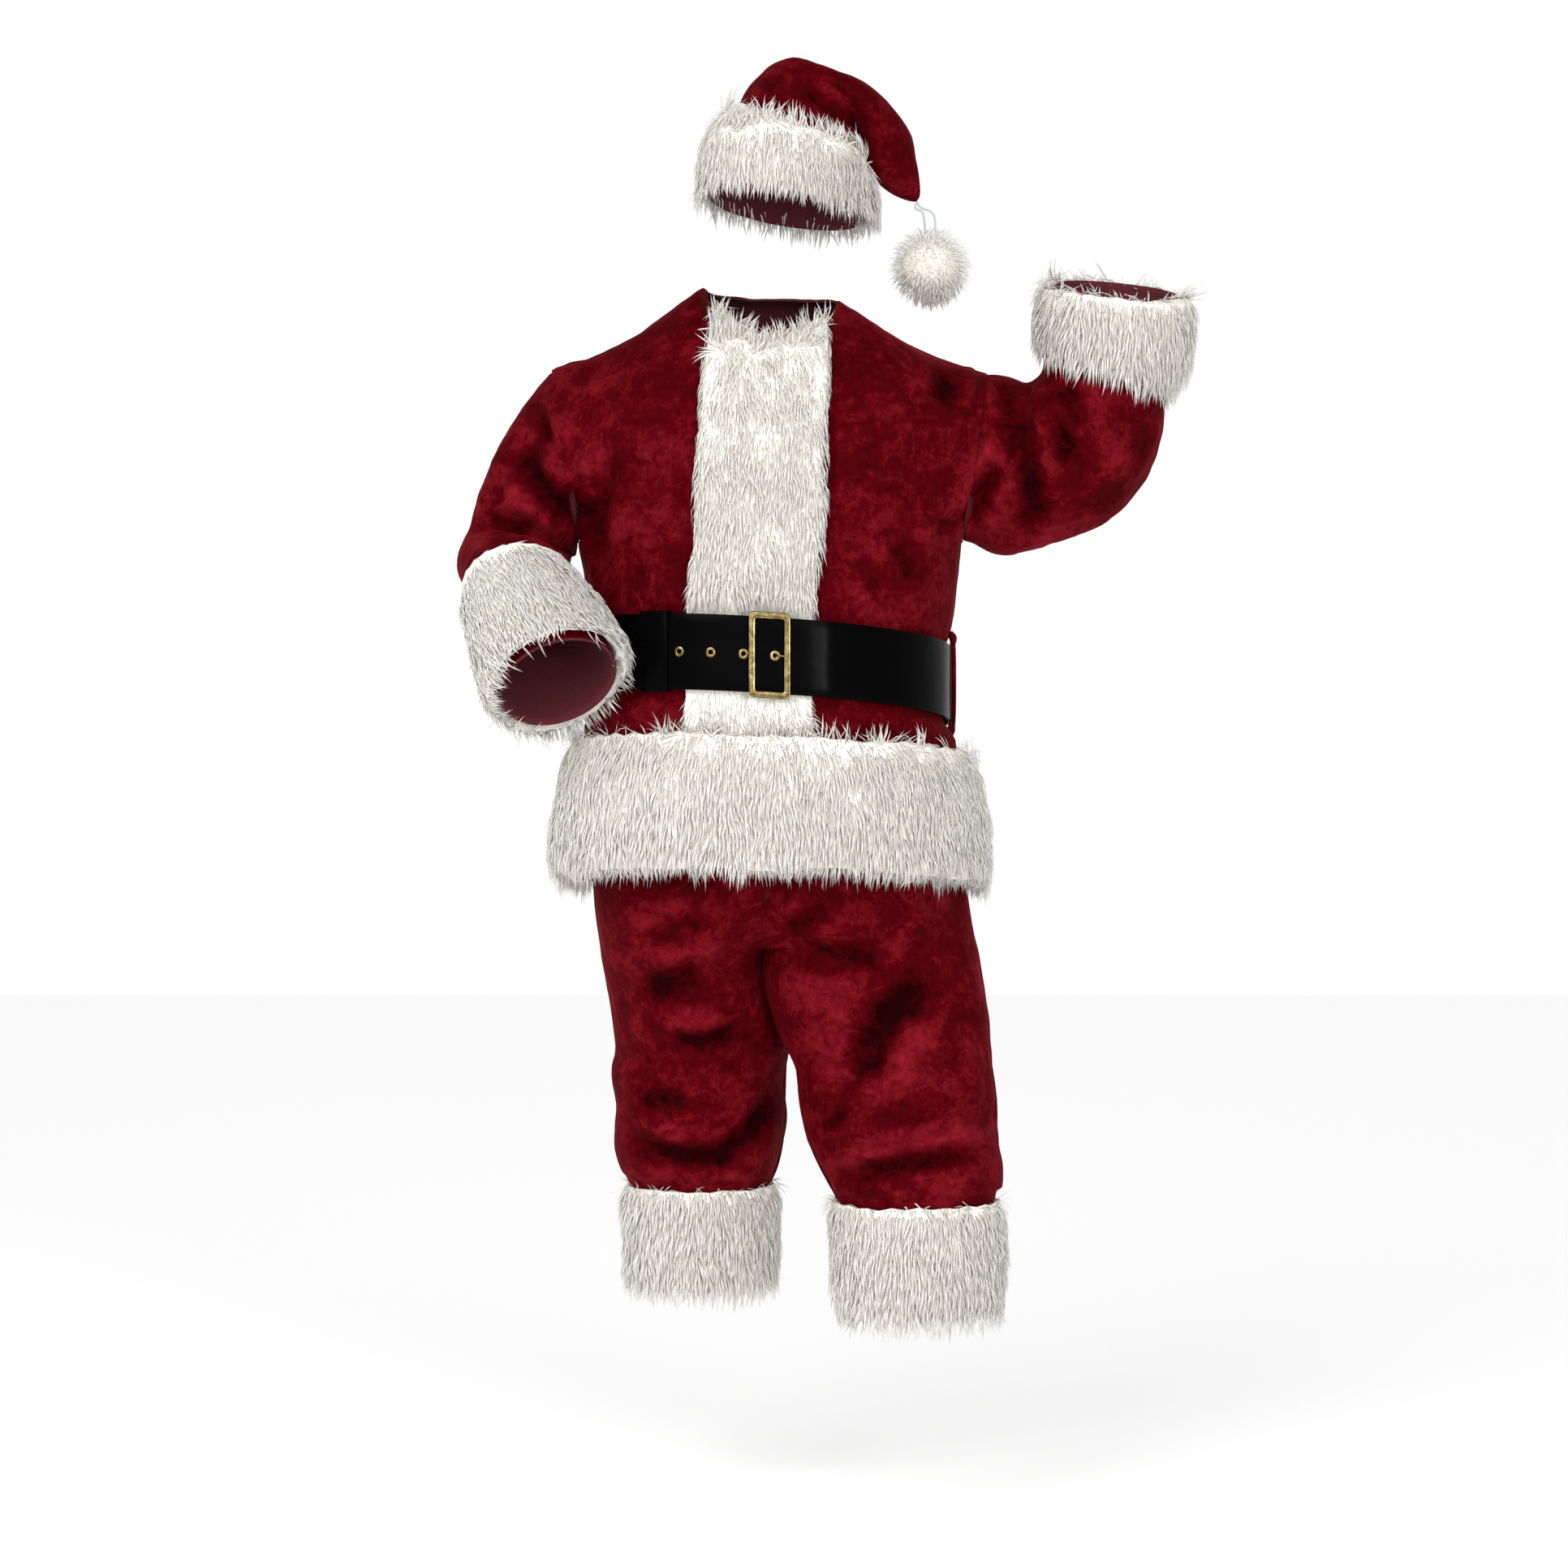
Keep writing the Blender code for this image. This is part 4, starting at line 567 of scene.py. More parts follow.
backCreases = {
    "arms": [
        (-268, -60, -250, -130, -225, -190, 10, 6.0), (-250, -70, -232, -130, -205, -180, 9, -8.0),
        (-340, -150, -300, -200, -255, -235, 12, -11.0),
        (-362, -200, -320, -245, -270, -262, 10, 6.0),
        (-385, -260, -345, -285, -300, -285, 10, -9.0), (262, -50, 248, -110, 222, -180, 10, -8.0),
        (300, -70, 288, -140, 300, -210, 10, -10.0), (340, -80, 345, -150, 360, -205, 10, -8.0),
        (322, -90, 325, -170, 10, 5.5), (400, -110, 410, -170, 440, -200, 12, -7.0),
        (470, -80, 480, -140, 12, -5.0), (-110, -330, -95, -250, -130, -160, 14, -6.0),
        (80, -340, 70, -260, 110, -170, 14, -6.0), (-20, -345, -12, -270, 12, -4.5),
        (160, -335, 185, -280, 12, -5.0), (-185, -335, -195, -280, 12, -5.0),
        (-150, -110, -30, -135, 140, -105, 16, -4.5),
    ],
    "legs": [
        (-190, -770, -110, -815, -30, -800, 15, -9.0), (-195, -800, -110, -838, -40, -830, 10, 6.0),
        (-190, -960, -130, -985, -40, -950, 12, -11.0),
        (-180, -985, -110, -1010, -30, -985, 10, 6.0),
        (-185, -1020, -120, -1050, -50, -1030, 11, -9.0),
        (40, -790, 120, -830, 230, -780, 15, -10.0), (60, -950, 140, -985, 250, -940, 12, -11.0),
        (75, -978, 150, -1010, 255, -975, 10, 6.0), (80, -1040, 160, -1060, 270, -1025, 11, -9.0),
        (0, -700, 10, -780, 10, -6.0),
    ],
    "hat": [
        (-10, 330, 60, 290, 120, 240, 10, -7.0), (60, 360, 130, 310, 165, 240, 10, 4.0),
    ],
}


def wallSides(mesh, limit):
    # Marks which side of a closed wall each point is on: 1 outer, -1 inner, by the larger region.
    groups = regionsOf(mesh, limit)
    layer = mesh.verts.layers.float.new("side")
    for group, value in ((groups[0], 1.0), (groups[1], -1.0)):
        for face in group:
            for vert in face.verts:
                vert[layer] = value
    # A point that no large region reaches is on its neighbours' side.
    for vert in mesh.verts:
        if vert[layer] == 0.0:
            near = sum(edge.other_vert(vert)[layer] for edge in vert.link_edges)
            vert[layer] = max(-1.0, min(1.0, near))


def creaseEdges(mesh):
    # Holds hard edges and corners through the subdivision, so that sewn pieces still meet.
    edges = mesh.edges.layers.float.new("crease_edge")
    corners = mesh.verts.layers.float.new("crease_vert")
    sharp = set(sharpEdges(mesh, clothMake["hardEdge"]))
    for edge in sharp:
        edge[edges] = 1.0
    for vert in mesh.verts:
        if sum(edge in sharp for edge in vert.link_edges) > 2:
            vert[corners] = 1.0


def outerDivided(piece):
    # One more cut across every face on the outer side, where the creases show.
    mesh = bmesh.new()
    mesh.from_mesh(piece.data)
    side = mesh.verts.layers.float["side"]
    edges = [
        edge for edge in mesh.edges
        if min(vert[side] for vert in edge.verts) > clothMake["outer"]
    ]
    bmesh.ops.subdivide_edges(mesh, edges=edges, cuts=1, use_grid_fill=True)
    bmesh.ops.triangulate(mesh, faces=[face for face in mesh.faces if len(face.verts) > 4])
    mesh.to_mesh(piece.data)
    mesh.free()


def evened(piece):
    # Smooths away the hard fold where the two halves of the bent sleeve meet.
    across, height, behind = clothMake["elbow"]
    mesh = bmesh.new()
    mesh.from_mesh(piece.data)
    for radius in clothMake["evenRadii"]:
        near = [
            vert for vert in mesh.verts
            if math.hypot(vert.co.x - across, vert.co.z - height) < radius and vert.co.y < behind
        ]
        for _ in range(clothMake["evenRounds"]):
            bmesh.ops.smooth_vert(
                mesh, verts=near, factor=0.5, use_axis_x=True, use_axis_y=True, use_axis_z=True)
    mesh.to_mesh(piece.data)
    mesh.free()


def nearLine(points, line):
    # Distance of each flat point from a line of knots, and how far along it, from 0 to 1.
    knots = np.array(line)
    steps = np.linalg.norm(knots[1:] - knots[:-1], axis=1)
    best = np.full(len(points), 1e9)
    share = np.zeros(len(points))
    done = 0.0
    for start, end, step in zip(knots[:-1], knots[1:], steps):
        part = np.clip(((points - start) @ (end - start)) / step ** 2, 0.0, 1.0)
        gap = np.linalg.norm(points - (start + part[:, None] * (end - start)), axis=1)
        closer = gap < best
        best = np.where(closer, gap, best)
        share = np.where(closer, (done + part * step) / steps.sum(), share)
        done += step
    return best, share


def creased(places, normals, creases, facing, deep):
    # How far each point moves along its normal: a soft trough or ridge with lips beside it.
    # The second list is how deep in a broader fold each point lies, for the nap's painted shade and
    # painted highlight.
    flat = places[:, [0, 2]]
    if facing < 0.0:
        centre = np.array((eye.x, eye.z))
        flat = centre + (flat - centre) * -eye.y / (places[:, 1] - eye.y)[:, None]
    lit = np.clip(normals[:, 1] * facing * clothMake["turned"], 0.0, 1.0)
    moved = np.zeros(len(places))
    shade = np.zeros(len(places))
    endDepth = clothMake["endDepth"]
    lipsAway, lipsHigh = clothMake["lips"]
    besideAway, besideHigh = clothMake["shadeLips"]
    for crease in creases:
        *line, width, height = np.array(crease) / 1000.0
        width = width * clothMake["widen"]
        gap, along = nearLine(flat, np.reshape(line, (-1, 2)))
        middle = eased(np.minimum(along, 1.0 - along), 0.0, clothMake["taper"])
        taper = endDepth + (1.0 - endDepth) * middle
        past = np.where((along <= 0.0) | (along >= 1.0), clothMake["pastEnd"], 1.0)
        lips = lipsHigh * bell(gap - width * lipsAway, width)
        moved += height * deep * (bell(gap, width) - lips) * taper * past * lit
        reach = width * clothMake["shadeWidth"]
        beside = besideHigh * bell(gap - reach * besideAway, reach)
        shade += height * (bell(gap, reach) - beside) * taper * middle * lit
    return moved, shade


def rumpled(places):
    moved = np.zeros(len(places))
    for scale, height in clothMake["rumple"]:
        moved += height * waves(
            places * clothMake["rumpleLong"], scale, clothMake["rumpleShift"])
    start, end, more = clothMake["slack"]
    return moved * (1.0 + more * ramped(np.abs(places[:, 0]), start, end))


coverTree = surfacesOf([
    "hem_fur", "placket_fur", "sleeve_cuff_left", "sleeve_cuff_right", "leg_cuff_left",
    "leg_cuff_right", "hat_band_fur", "belt_strap", "belt_keeper",
])
strapTree = surfacesOf(["belt_strap"])


def coveredShare(places):
    # 1 where fur or the belt lies on the cloth, 0 a little way off.
    far = clothMake["clear"]
    return eased(far - gapsTo(coverTree, places, far), 0.0, far - clothMake["touch"])


def thighs(places, outward):
    # The inner thighs fill out until they touch, from the crotch down to where the legs part.
    low, lowFade, high, highFade, most = clothMake["thigh"]
    across, wide = clothMake["thighMiddle"]
    height = places[:, 2]
    rise = ramped(height - low, 0.0, lowFade) * ramped(high - height, 0.0, highFade)
    return most * rise * bell(places[:, 0] - across, wide) * np.abs(outward[:, 0])


def hatLimb(places):
    # The hanging limb is full, and narrows to its tip.
    low, high, most = clothMake["limb"]
    gone = np.linalg.norm(places[:, [0, 2]] - clothMake["tip"], axis=1)
    full = ramped(gone, 0.0, clothMake["tipReach"]) ** clothMake["tipPower"]
    return most * ramped(places[:, 0], low, high) * full


def hatFull(places, outward):
    # The crown swells where the limb lies against the band, and its under side hangs out to it.
    crown = np.maximum(swollen(places, *clothMake["crook"]), hatLimb(places))
    facing = np.clip(outward[:, [0, 2]] @ clothMake["underWay"], 0.0, 1.0)
    return crown + swollen(places, *clothMake["under"]) * facing


def drawnTip(places):
    # The crown's tip runs down to the top of the pompom's loop.
    points = np.array([vert.co for vert in frame["nodes"]["pompom_loop"].data.vertices])
    top = points[:, 2].max() - clothMake["loopTop"]
    target = points[points[:, 2] > top].mean(axis=0)
    end = places[np.argmin(np.linalg.norm(places - target, axis=1))]
    share = bell(np.linalg.norm(places - end, axis=1), clothMake["tipDraw"])
    return (target - end) * share[:, None]


def hugged(places, side):
    # The inner face of a belt carrier lies against the strap.
    moved = places.copy()
    for index in np.nonzero(side < 0.0)[0]:
        near, _, _, gap = strapTree.find_nearest(Vector(places[index]), clothMake["hug"])
        if near is not None and gap > clothMake["hugGap"]:
            moved[index] += (np.array(near) - places[index]) * (1.0 - clothMake["hugGap"] / gap)
    return moved


def clothPiece(node, creases):
    carrier = not creases
    bent = node == "sleeve_left"
    mesh = mergedCopy(node)
    wallSides(mesh, clothMake["bentSoftEdge" if bent else "softEdge"])
    creaseEdges(mesh)
    piece = subdivided(toObject(mesh, node + "Cloth", plush), clothMake["levels"])
    outerDivided(piece)
    if bent:
        evened(piece)
    places, normals = coordinates(piece)
    side = readOut(piece.data.attributes["side"].data, "value")
    outward = normals * np.where(side < 0.0, -1.0, 1.0)[:, None]
    moved = rumpled(places)
    shade = np.zeros(len(places))
    if carrier:
        places = hugged(places, side)
    else:
        deep = clothMake["deep"][creases]
        for lines, facing in ((frontCreases, -1.0), (backCreases, 1.0)):
            depth, dark = creased(places, outward, lines[creases], facing, deep)
            moved += depth
            shade += dark
    if creases == "legs":
        moved += thighs(places, outward)
    if creases == "hat":
        moved += hatFull(places, outward)
    covered = coveredShare(places)
    moved *= 1.0 - np.where(moved > 0.0, 1.0, clothMake["held"]) * covered
    moved -= covered * clothMake["tucked"]
    if carrier:
        moved += clothMake["loopFull"] * (side > 0.0)
    moved = np.maximum(moved, clothMake["lowest"])
    if bent:
        # Where the sleeve turns tightly, its inner face stays well inside the outer one.
        moved -= swollen(places, *clothMake["bend"]) * (side < 0.0)
    # The nap gets painted shade in each trough and painted highlight on each ridge, by how deep the
    # point lies in its fold.
    shade = np.tanh(shade / clothMake["deepest"])
    setAttribute(piece, "fold", "FLOAT", np.where(shade > 0.0, shade * clothMake["ridge"], shade))
    places = places + outward * moved[:, None]
    if creases == "hat":
        places += drawnTip(places)
    setCoordinates(piece, places)
    piece.data.materials.append(knit)
    for polygon in piece.data.polygons:
        if sum(side[index] for index in polygon.vertices) < 0.0:
            polygon.material_index = 1
    declare(piece, "plush", node)
    return piece


pair = ("_left", "_right")
clothCuts = {
    # node: its sides, crease set, how it is held, flat width and length, share of that rectangle
    "jacket_front": (pair, "arms", "draped", 0.40, 0.78, 0.86),
    "jacket_back": (("",), "arms", "draped", 0.78, 0.82, 0.86),
    "sleeve": (pair, "arms", "draped", 0.62, 0.62, 0.70),
    "trouser_front": (pair, "legs", "hung", 0.34, 1.00, 0.82),
    "trouser_back": (pair, "legs", "hung", 0.38, 1.00, 0.78),
    "hat_crown": (("",), "hat", "draped", 0.62, 0.52, 0.52),
    "belt_carrier": (pair, None, "stretched", 0.036, 0.175, 1.0),
}
for stem, (sides, creases, held, width, length, share) in clothCuts.items():
    for node in [stem + side for side in sides]:
        piece = clothPiece(node, creases)
        print("  cloth", node, "area", round(wallArea(piece), 3), "triangles", triangles(piece))
print("stage: cloth made")


# Fur: a backing in its solid's shape, and bent locks set on it by Geometry Nodes.

lockMake = {
    "sides": 3,
    "radius": 0.050,  # half the root's width, as a share of the lock's length
    "flat": 0.36,  # a lock's thickness over its width
    "narrow": 0.86,  # each section over the one before it
    "sizes": (0.72, 1.22),  # shortest and longest, over the length that a place asks for
    "spacing": 0.0030,
    "quickSpread": 1.5,
    "perSquareMetre": 90000.0,
    "clumps": 30.0,  # waves per metre of the pile's swirls
    "swirl": 1.25,
    "sway": 0.5,  # how much of its swirl and stray a lock leans with
    "stray": 0.12,
    "patches": 60.0,  # waves per metre of the pile's lighter and darker patches
    "tone": (0.55, 0.45),  # shares of chance and of the patches in a lock's tone
    "lay": 0.72,  # how far a lock is shaded as the pile's face under it
}


def makeLock(name, lean, thick):
    # A tapered tuft one unit long that bends towards +X.
    mesh = bmesh.new()
    along = mesh.verts.layers.float.new("along")
    across = mesh.verts.layers.float.new("across")
    ring = bmesh.ops.create_circle(
        mesh, cap_ends=True, segments=lockMake["sides"], radius=lockMake["radius"] * thick)["verts"]
    for index, vert in enumerate(ring):
        vert.co.x *= lockMake["flat"]
        vert[across] = index
    edges = list({edge for vert in ring for edge in vert.link_edges})
    bmesh.ops.reverse_faces(mesh, faces=mesh.faces)
    step = 1.0 / len(lean)
    centre = Vector()
    before = 0.0
    for index, degrees in enumerate(lean, 1):
        turn = math.radians(degrees)
        grown = bmesh.ops.extrude_edge_only(mesh, edges=edges)["geom"]
        ring = [part for part in grown if isinstance(part, bmesh.types.BMVert)]
        edges = [part for part in grown if isinstance(part, bmesh.types.BMEdge)]
        stride = Vector((math.sin(turn), 0.0, math.cos(turn))) * step
        bmesh.ops.translate(mesh, verts=ring, vec=stride)
        centre = centre + stride
        bmesh.ops.rotate(
            mesh, verts=ring, cent=centre, matrix=Matrix.Rotation(turn - before, 3, "Y"))
        before = turn
        for side, vert in enumerate(ring):
            vert.co = centre + (vert.co - centre) * lockMake["narrow"]
            vert[along] = index * step
            vert[across] = side
    bmesh.ops.pointmerge(mesh, verts=ring, merge_co=centre)
    return toObject(mesh, name, whiteFur)


def lockSet(name, leans, thick=1.0):
    # Lock shapes to pick from, kept out of the picture.
    chosen = bpy.data.collections.new(name)
    for index, lean in enumerate(leans):
        lock = makeLock("%s%d" % (name, index), lean, thick)
        bpy.context.scene.collection.objects.unlink(lock)
        chosen.objects.link(lock)
    return chosen


combedLocks = lockSet("combedLock", [(74.0, 88.0), (68.0, 92.0), (78.0, 84.0)])
puffLocks = lockSet("puffLock", [(10.0, 34.0), (6.0, 24.0), (14.0, 50.0)], 1.5)


class Geometry(Graph):
    def __init__(self, name):
        self.group = bpy.data.node_groups.new(name, "GeometryNodeTree")
        for side in ("INPUT", "OUTPUT"):
            self.group.interface.new_socket(
                "Geometry", in_out=side, socket_type="NodeSocketGeometry")
        super().__init__(self.group)
        self.start = self.add("NodeGroupInput")

    def named(self, attribute, kind="FLOAT_VECTOR"):
        settings = {"data_type": kind}
        return self.add("GeometryNodeInputNamedAttribute", settings, {"Name": attribute})

    def vector(self, operation, first, second):
        values = {0: first, 1: second}
        return self.add("ShaderNodeVectorMath", {"operation": operation}, values)

    def scaled(self, vector, scale):
        values = {0: vector, "Scale": scale}
        return self.add("ShaderNodeVectorMath", {"operation": "SCALE"}, values)

    def chance(self, kind, seed, values, out):
        return self.add(
            "FunctionNodeRandomValue", {"data_type": kind}, {**values, "Seed": seed}, out)

    def end(self, geometry):
        self.tree.links.new(geometry.socket, self.tree.nodes.new("NodeGroupOutput").inputs[0])
        return self.group


def furGroup(name, locks, seed, spacing, wild):
    g = Geometry(name)
    scattered = g.add(
        "GeometryNodeDistributePointsOnFaces", {"distribute_method": "POISSON"},
        {
            "Mesh": g.start, "Distance Min": spacing, "Seed": seed,
            "Density Max": lockMake["perSquareMetre"],
            "Density Factor": g.named("pile", "FLOAT"),
        },
    )
    place = g.add("GeometryNodeInputPosition")
    clumps = g.add(
        "ShaderNodeTexNoise", None,
        {"Vector": place, "Scale": lockMake["clumps"], "Detail": 2.0}, out=1)
    swirl = g.scaled(
        g.vector("SUBTRACT", clumps, (0.5, 0.5, 0.5)), lockMake["swirl"] * wild)
    loose = g.chance(
        "FLOAT_VECTOR", seed + 3, {0: (-1.0, -1.0, -1.0), 1: (1.0, 1.0, 1.0)}, 0)
    sway = g.vector("ADD", g.scaled(loose, g.named("stray", "FLOAT")), swirl)
    comb = g.vector("ADD", g.named("comb"), sway)
    stand = g.vector("ADD", g.named("stand"), g.scaled(sway, lockMake["sway"]))
    upright = g.add("FunctionNodeAlignRotationToVector", {"axis": "Z"}, {"Vector": stand})
    turned = g.add(
        "FunctionNodeAlignRotationToVector", {"axis": "X", "pivot_axis": "Z"},
        {"Rotation": upright, "Vector": comb},
    )
    shapes = g.add(
        "GeometryNodeCollectionInfo", None,
        {"Collection": locks, "Separate Children": True, "Reset Children": True},
    )
    pick = g.chance("INT", seed + 7, {4: 0, 5: len(locks.objects) - 1}, 2)
    shortest, longest = lockMake["sizes"]
    size = g.chance("FLOAT", seed + 5, {2: shortest, 3: longest}, 1)
    placed = g.add(
        "GeometryNodeInstanceOnPoints", None,
        {
            "Points": scattered, "Instance": shapes, "Pick Instance": True,
            "Instance Index": pick, "Rotation": turned,
            "Scale": size * g.named("reach", "FLOAT"),
        },
    )
    patches = g.add(
        "ShaderNodeTexNoise", None,
        {"Vector": place, "Scale": lockMake["patches"], "Detail": 3.0})
    own, shared = lockMake["tone"]
    tone = g.chance("FLOAT", seed + 9, {2: 0.0, 3: 1.0}, 1) * own + patches * shared
    toned = g.add(
        "GeometryNodeStoreNamedAttribute", {"data_type": "FLOAT", "domain": "INSTANCE"},
        {"Geometry": placed, "Name": "tone", "Value": tone},
    )
    return g.end(g.add("GeometryNodeRealizeInstances", None, {"Geometry": toned}))


def softened(piece):
    # Shades each lock partly as the face that it grows from.
    normals = coordinates(piece)[1]
    lay = unit(readOut(piece.data.attributes["lay"].data, "vector", 3))
    share = lockMake["lay"] * (0.5 + 0.5 * np.sum(lay * normals, axis=1))[:, None]
    piece.data.normals_split_custom_set_from_vertices(
        unit(lay * share + normals * (1.0 - share)))


def locksOn(piece, name, locks, seed, spacing=lockMake["spacing"], wild=1.0):
    # A backing's copy turns into its locks.
    made = bpy.data.objects.new(name, piece.data.copy())
    bpy.context.scene.collection.objects.link(made)
    scatter = made.modifiers.new("locks", "NODES")
    scatter.node_group = furGroup(name + "Setting", locks, seed, spacing, wild)
    applied(made)
    made.data.materials.clear()
    made.data.materials.append(whiteFur)
    made.data.shade_smooth()
    softened(made)
    declare(made, "fur")
    return made


def nearest(points, targets):
    # Distance to the nearest of the targets, and which it is: 9 m off where there are none.
    if not len(targets):
        return np.full(len(points), 9.0), np.zeros(len(points), int)
    tree = kdtree.KDTree(len(targets))
    for index, target in enumerate(targets):
        tree.insert(target, index)
    tree.balance()
    found = [tree.find(point) for point in points]
    return np.array([hit[2] for hit in found]), np.array([hit[1] for hit in found])


furMake = {
    "sink": 0.0045,  # the backing lies this far under the solid's face
    "rimSink": 0.009,  # and at its rims
    "rim": (0.35, 0.9),
    "most": 0.55,  # and at most this share of the pile's thickness
    "lumps": ((15.0, 0.0038), (41.0, 0.0016)),  # waves per metre, height
    "hollow": 0.8,  # a hollow's depth is at most this share of the sink
    "drawn": 0.03,  # how near its end a backing is drawn on
    "endEdge": 0.6,  # an edge that turns this far along the nap is a first or last one
    "inward": 0.6,  # inner faces turned less than this far to a mouth carry no pile
    "shorn": ("sleeve_cuff_left",),  # its mouth faces the front, so its inner edge is kept clear
    "mouth": (0.68, 0.30),  # how much shorter the pile is in a mouth, and in a shorn one
    "edge": 0.011,  # width of the tufts along an edge
    "endWider": 1.3,
    "tufts": 48.0,  # waves per metre of the fringe's long and short tufts
    "tufted": 0.12,  # below minus this a tuft lies over, above it a tuft stands up
    # how far a face turns to the trim's first edge or to its end, from none to all of a kind
    "shoulder": (0.10, 0.70),
    "brim": (0.75, 0.97),
    "inMouth": (0.35, 0.85),
    # what four kinds of place (upward, over, mouth, brim) add to the way that pile is combed
    # and stands, along the nap and across it, and to the stray of its locks
    "combAlong": (-1.9, -0.7, -0.65, 0.0),
    "combAcross": (0.0, 0.9, -0.65, -0.6),
    "standAlong": (-0.35, -0.9, 1.0, 0.0),
    "stray": (0.25, 0.0, 0.3, 0.0),
    "standAcross": (0.25, 0.5),  # everywhere, and more where pile stands up
    "combEdges": (1.8, 0.3),  # towards a side edge and an end
    "standSide": 0.5,
    "lay": (0.5, 0.3),  # across and along
    # how much longer locks are at an end, in long tufts there, along a side and standing up,
    # and how much shorter lying over and at a brim
    "long": {"end": 0.20, "tufts": 0.7, "side": 0.9, "upward": -0.15, "over": 0.35, "brim": 0.3},
    "shortest": 0.006,  # pile beside the belt
    "pressed": 0.0025,  # pile nearer than this to the belt is bare backing
    "pressedPast": 1.05,
}


def rimsOf(inner, innerFaces, nap):
    # Middles of the inner faces' open edges, and the way each looks, by the end of the nap.
    rims = {kind: ([], []) for kind in ("start", "end", "side")}
    for face in inner:
        for edge in face.edges:
            if all(near in innerFaces for near in edge.link_faces):
                continue
            first, last = [vert.co for vert in edge.verts]
            middle = (first + last) / 2.0
            away = np.cross(np.array((last - first).normalized()), np.array(face.normal))
            if away @ (np.array(middle) - np.array(face.calc_center_median())) < 0.0:
                away = -away
            along = away @ nap
            turned = abs(along) > furMake["endEdge"]
            kind = "side" if not turned else "start" if along < 0.0 else "end"
            rims[kind][0].append(tuple(middle))
            rims[kind][1].append(away)
    return rims


def furBacking(node, nap, core, overrun):
    # Returns the backing, its points, and each point's distance from the trim's three kinds
    # of edge.
    mesh = mergedCopy(node)
    groups = regionsOf(mesh, clothMake["softEdge"])

    def facesOut(group):
        total = 0.0
        for face in group:
            arm = np.array(face.calc_center_median()) - core
            total += face.calc_area() * (np.array(face.normal) @ unit(arm - nap * (arm @ nap)))
        return total

    inner = [
        face for face in min(groups[:3], key=facesOut)
        if abs(np.array(face.normal) @ nap) < furMake["inward"]
    ]
    innerFaces = set(inner)
    rims = rimsOf(inner, innerFaces, nap)
    cover = mesh.verts.layers.float.new("cover")
    pile = mesh.verts.layers.float.new("pile")
    for vert in mesh.verts:
        bare = [face in innerFaces for face in vert.link_faces]
        vert[cover] = 0.0 if all(bare) else 1.0
        vert[pile] = 0.0 if all(bare) or any(bare) and node in furMake["shorn"] else 1.0
    under = [vert.co.copy() for face in inner for vert in face.verts]
    under += [face.calc_center_median() for face in inner]
    piece = subdivided(toObject(mesh, node + "Backing", backing), 1)
    places, normals = coordinates(piece)
    covered = readOut(piece.data.attributes["cover"].data, "value") > 0.5
    sink = furMake["rimSink"] - furMake["sink"]
    sink = furMake["sink"] + sink * eased(np.abs(normals @ nap), *furMake["rim"])
    sink = np.minimum(sink, nearest(places, under)[0] * furMake["most"]) * covered
    swell = sum(height * waves(places, scale) for scale, height in furMake["lumps"])
    swell = np.maximum(swell, -sink * furMake["hollow"]) * covered
    if node == "hat_band_fur":
        swell += swollen(places, *clothMake["crook"]) * covered
    toEnd = nearest(places, rims["end"][0])[0]
    drawn = nap * (overrun * bell(toEnd, furMake["drawn"]))[:, None]
    setCoordinates(piece, places + normals * (swell - sink)[:, None] + drawn)
    places, normals = coordinates(piece)
    reach = {}
    for kind, (middles, ways) in rims.items():
        gap, index = nearest(places, middles)
        way = np.array(ways)[index] if ways else np.zeros((len(places), 3))
        reach[kind] = (gap[:, None], way)
    return piece, places, normals, reach


beltTree = surfacesOf(["belt_strap", "belt_keeper", "buckle_frame"])


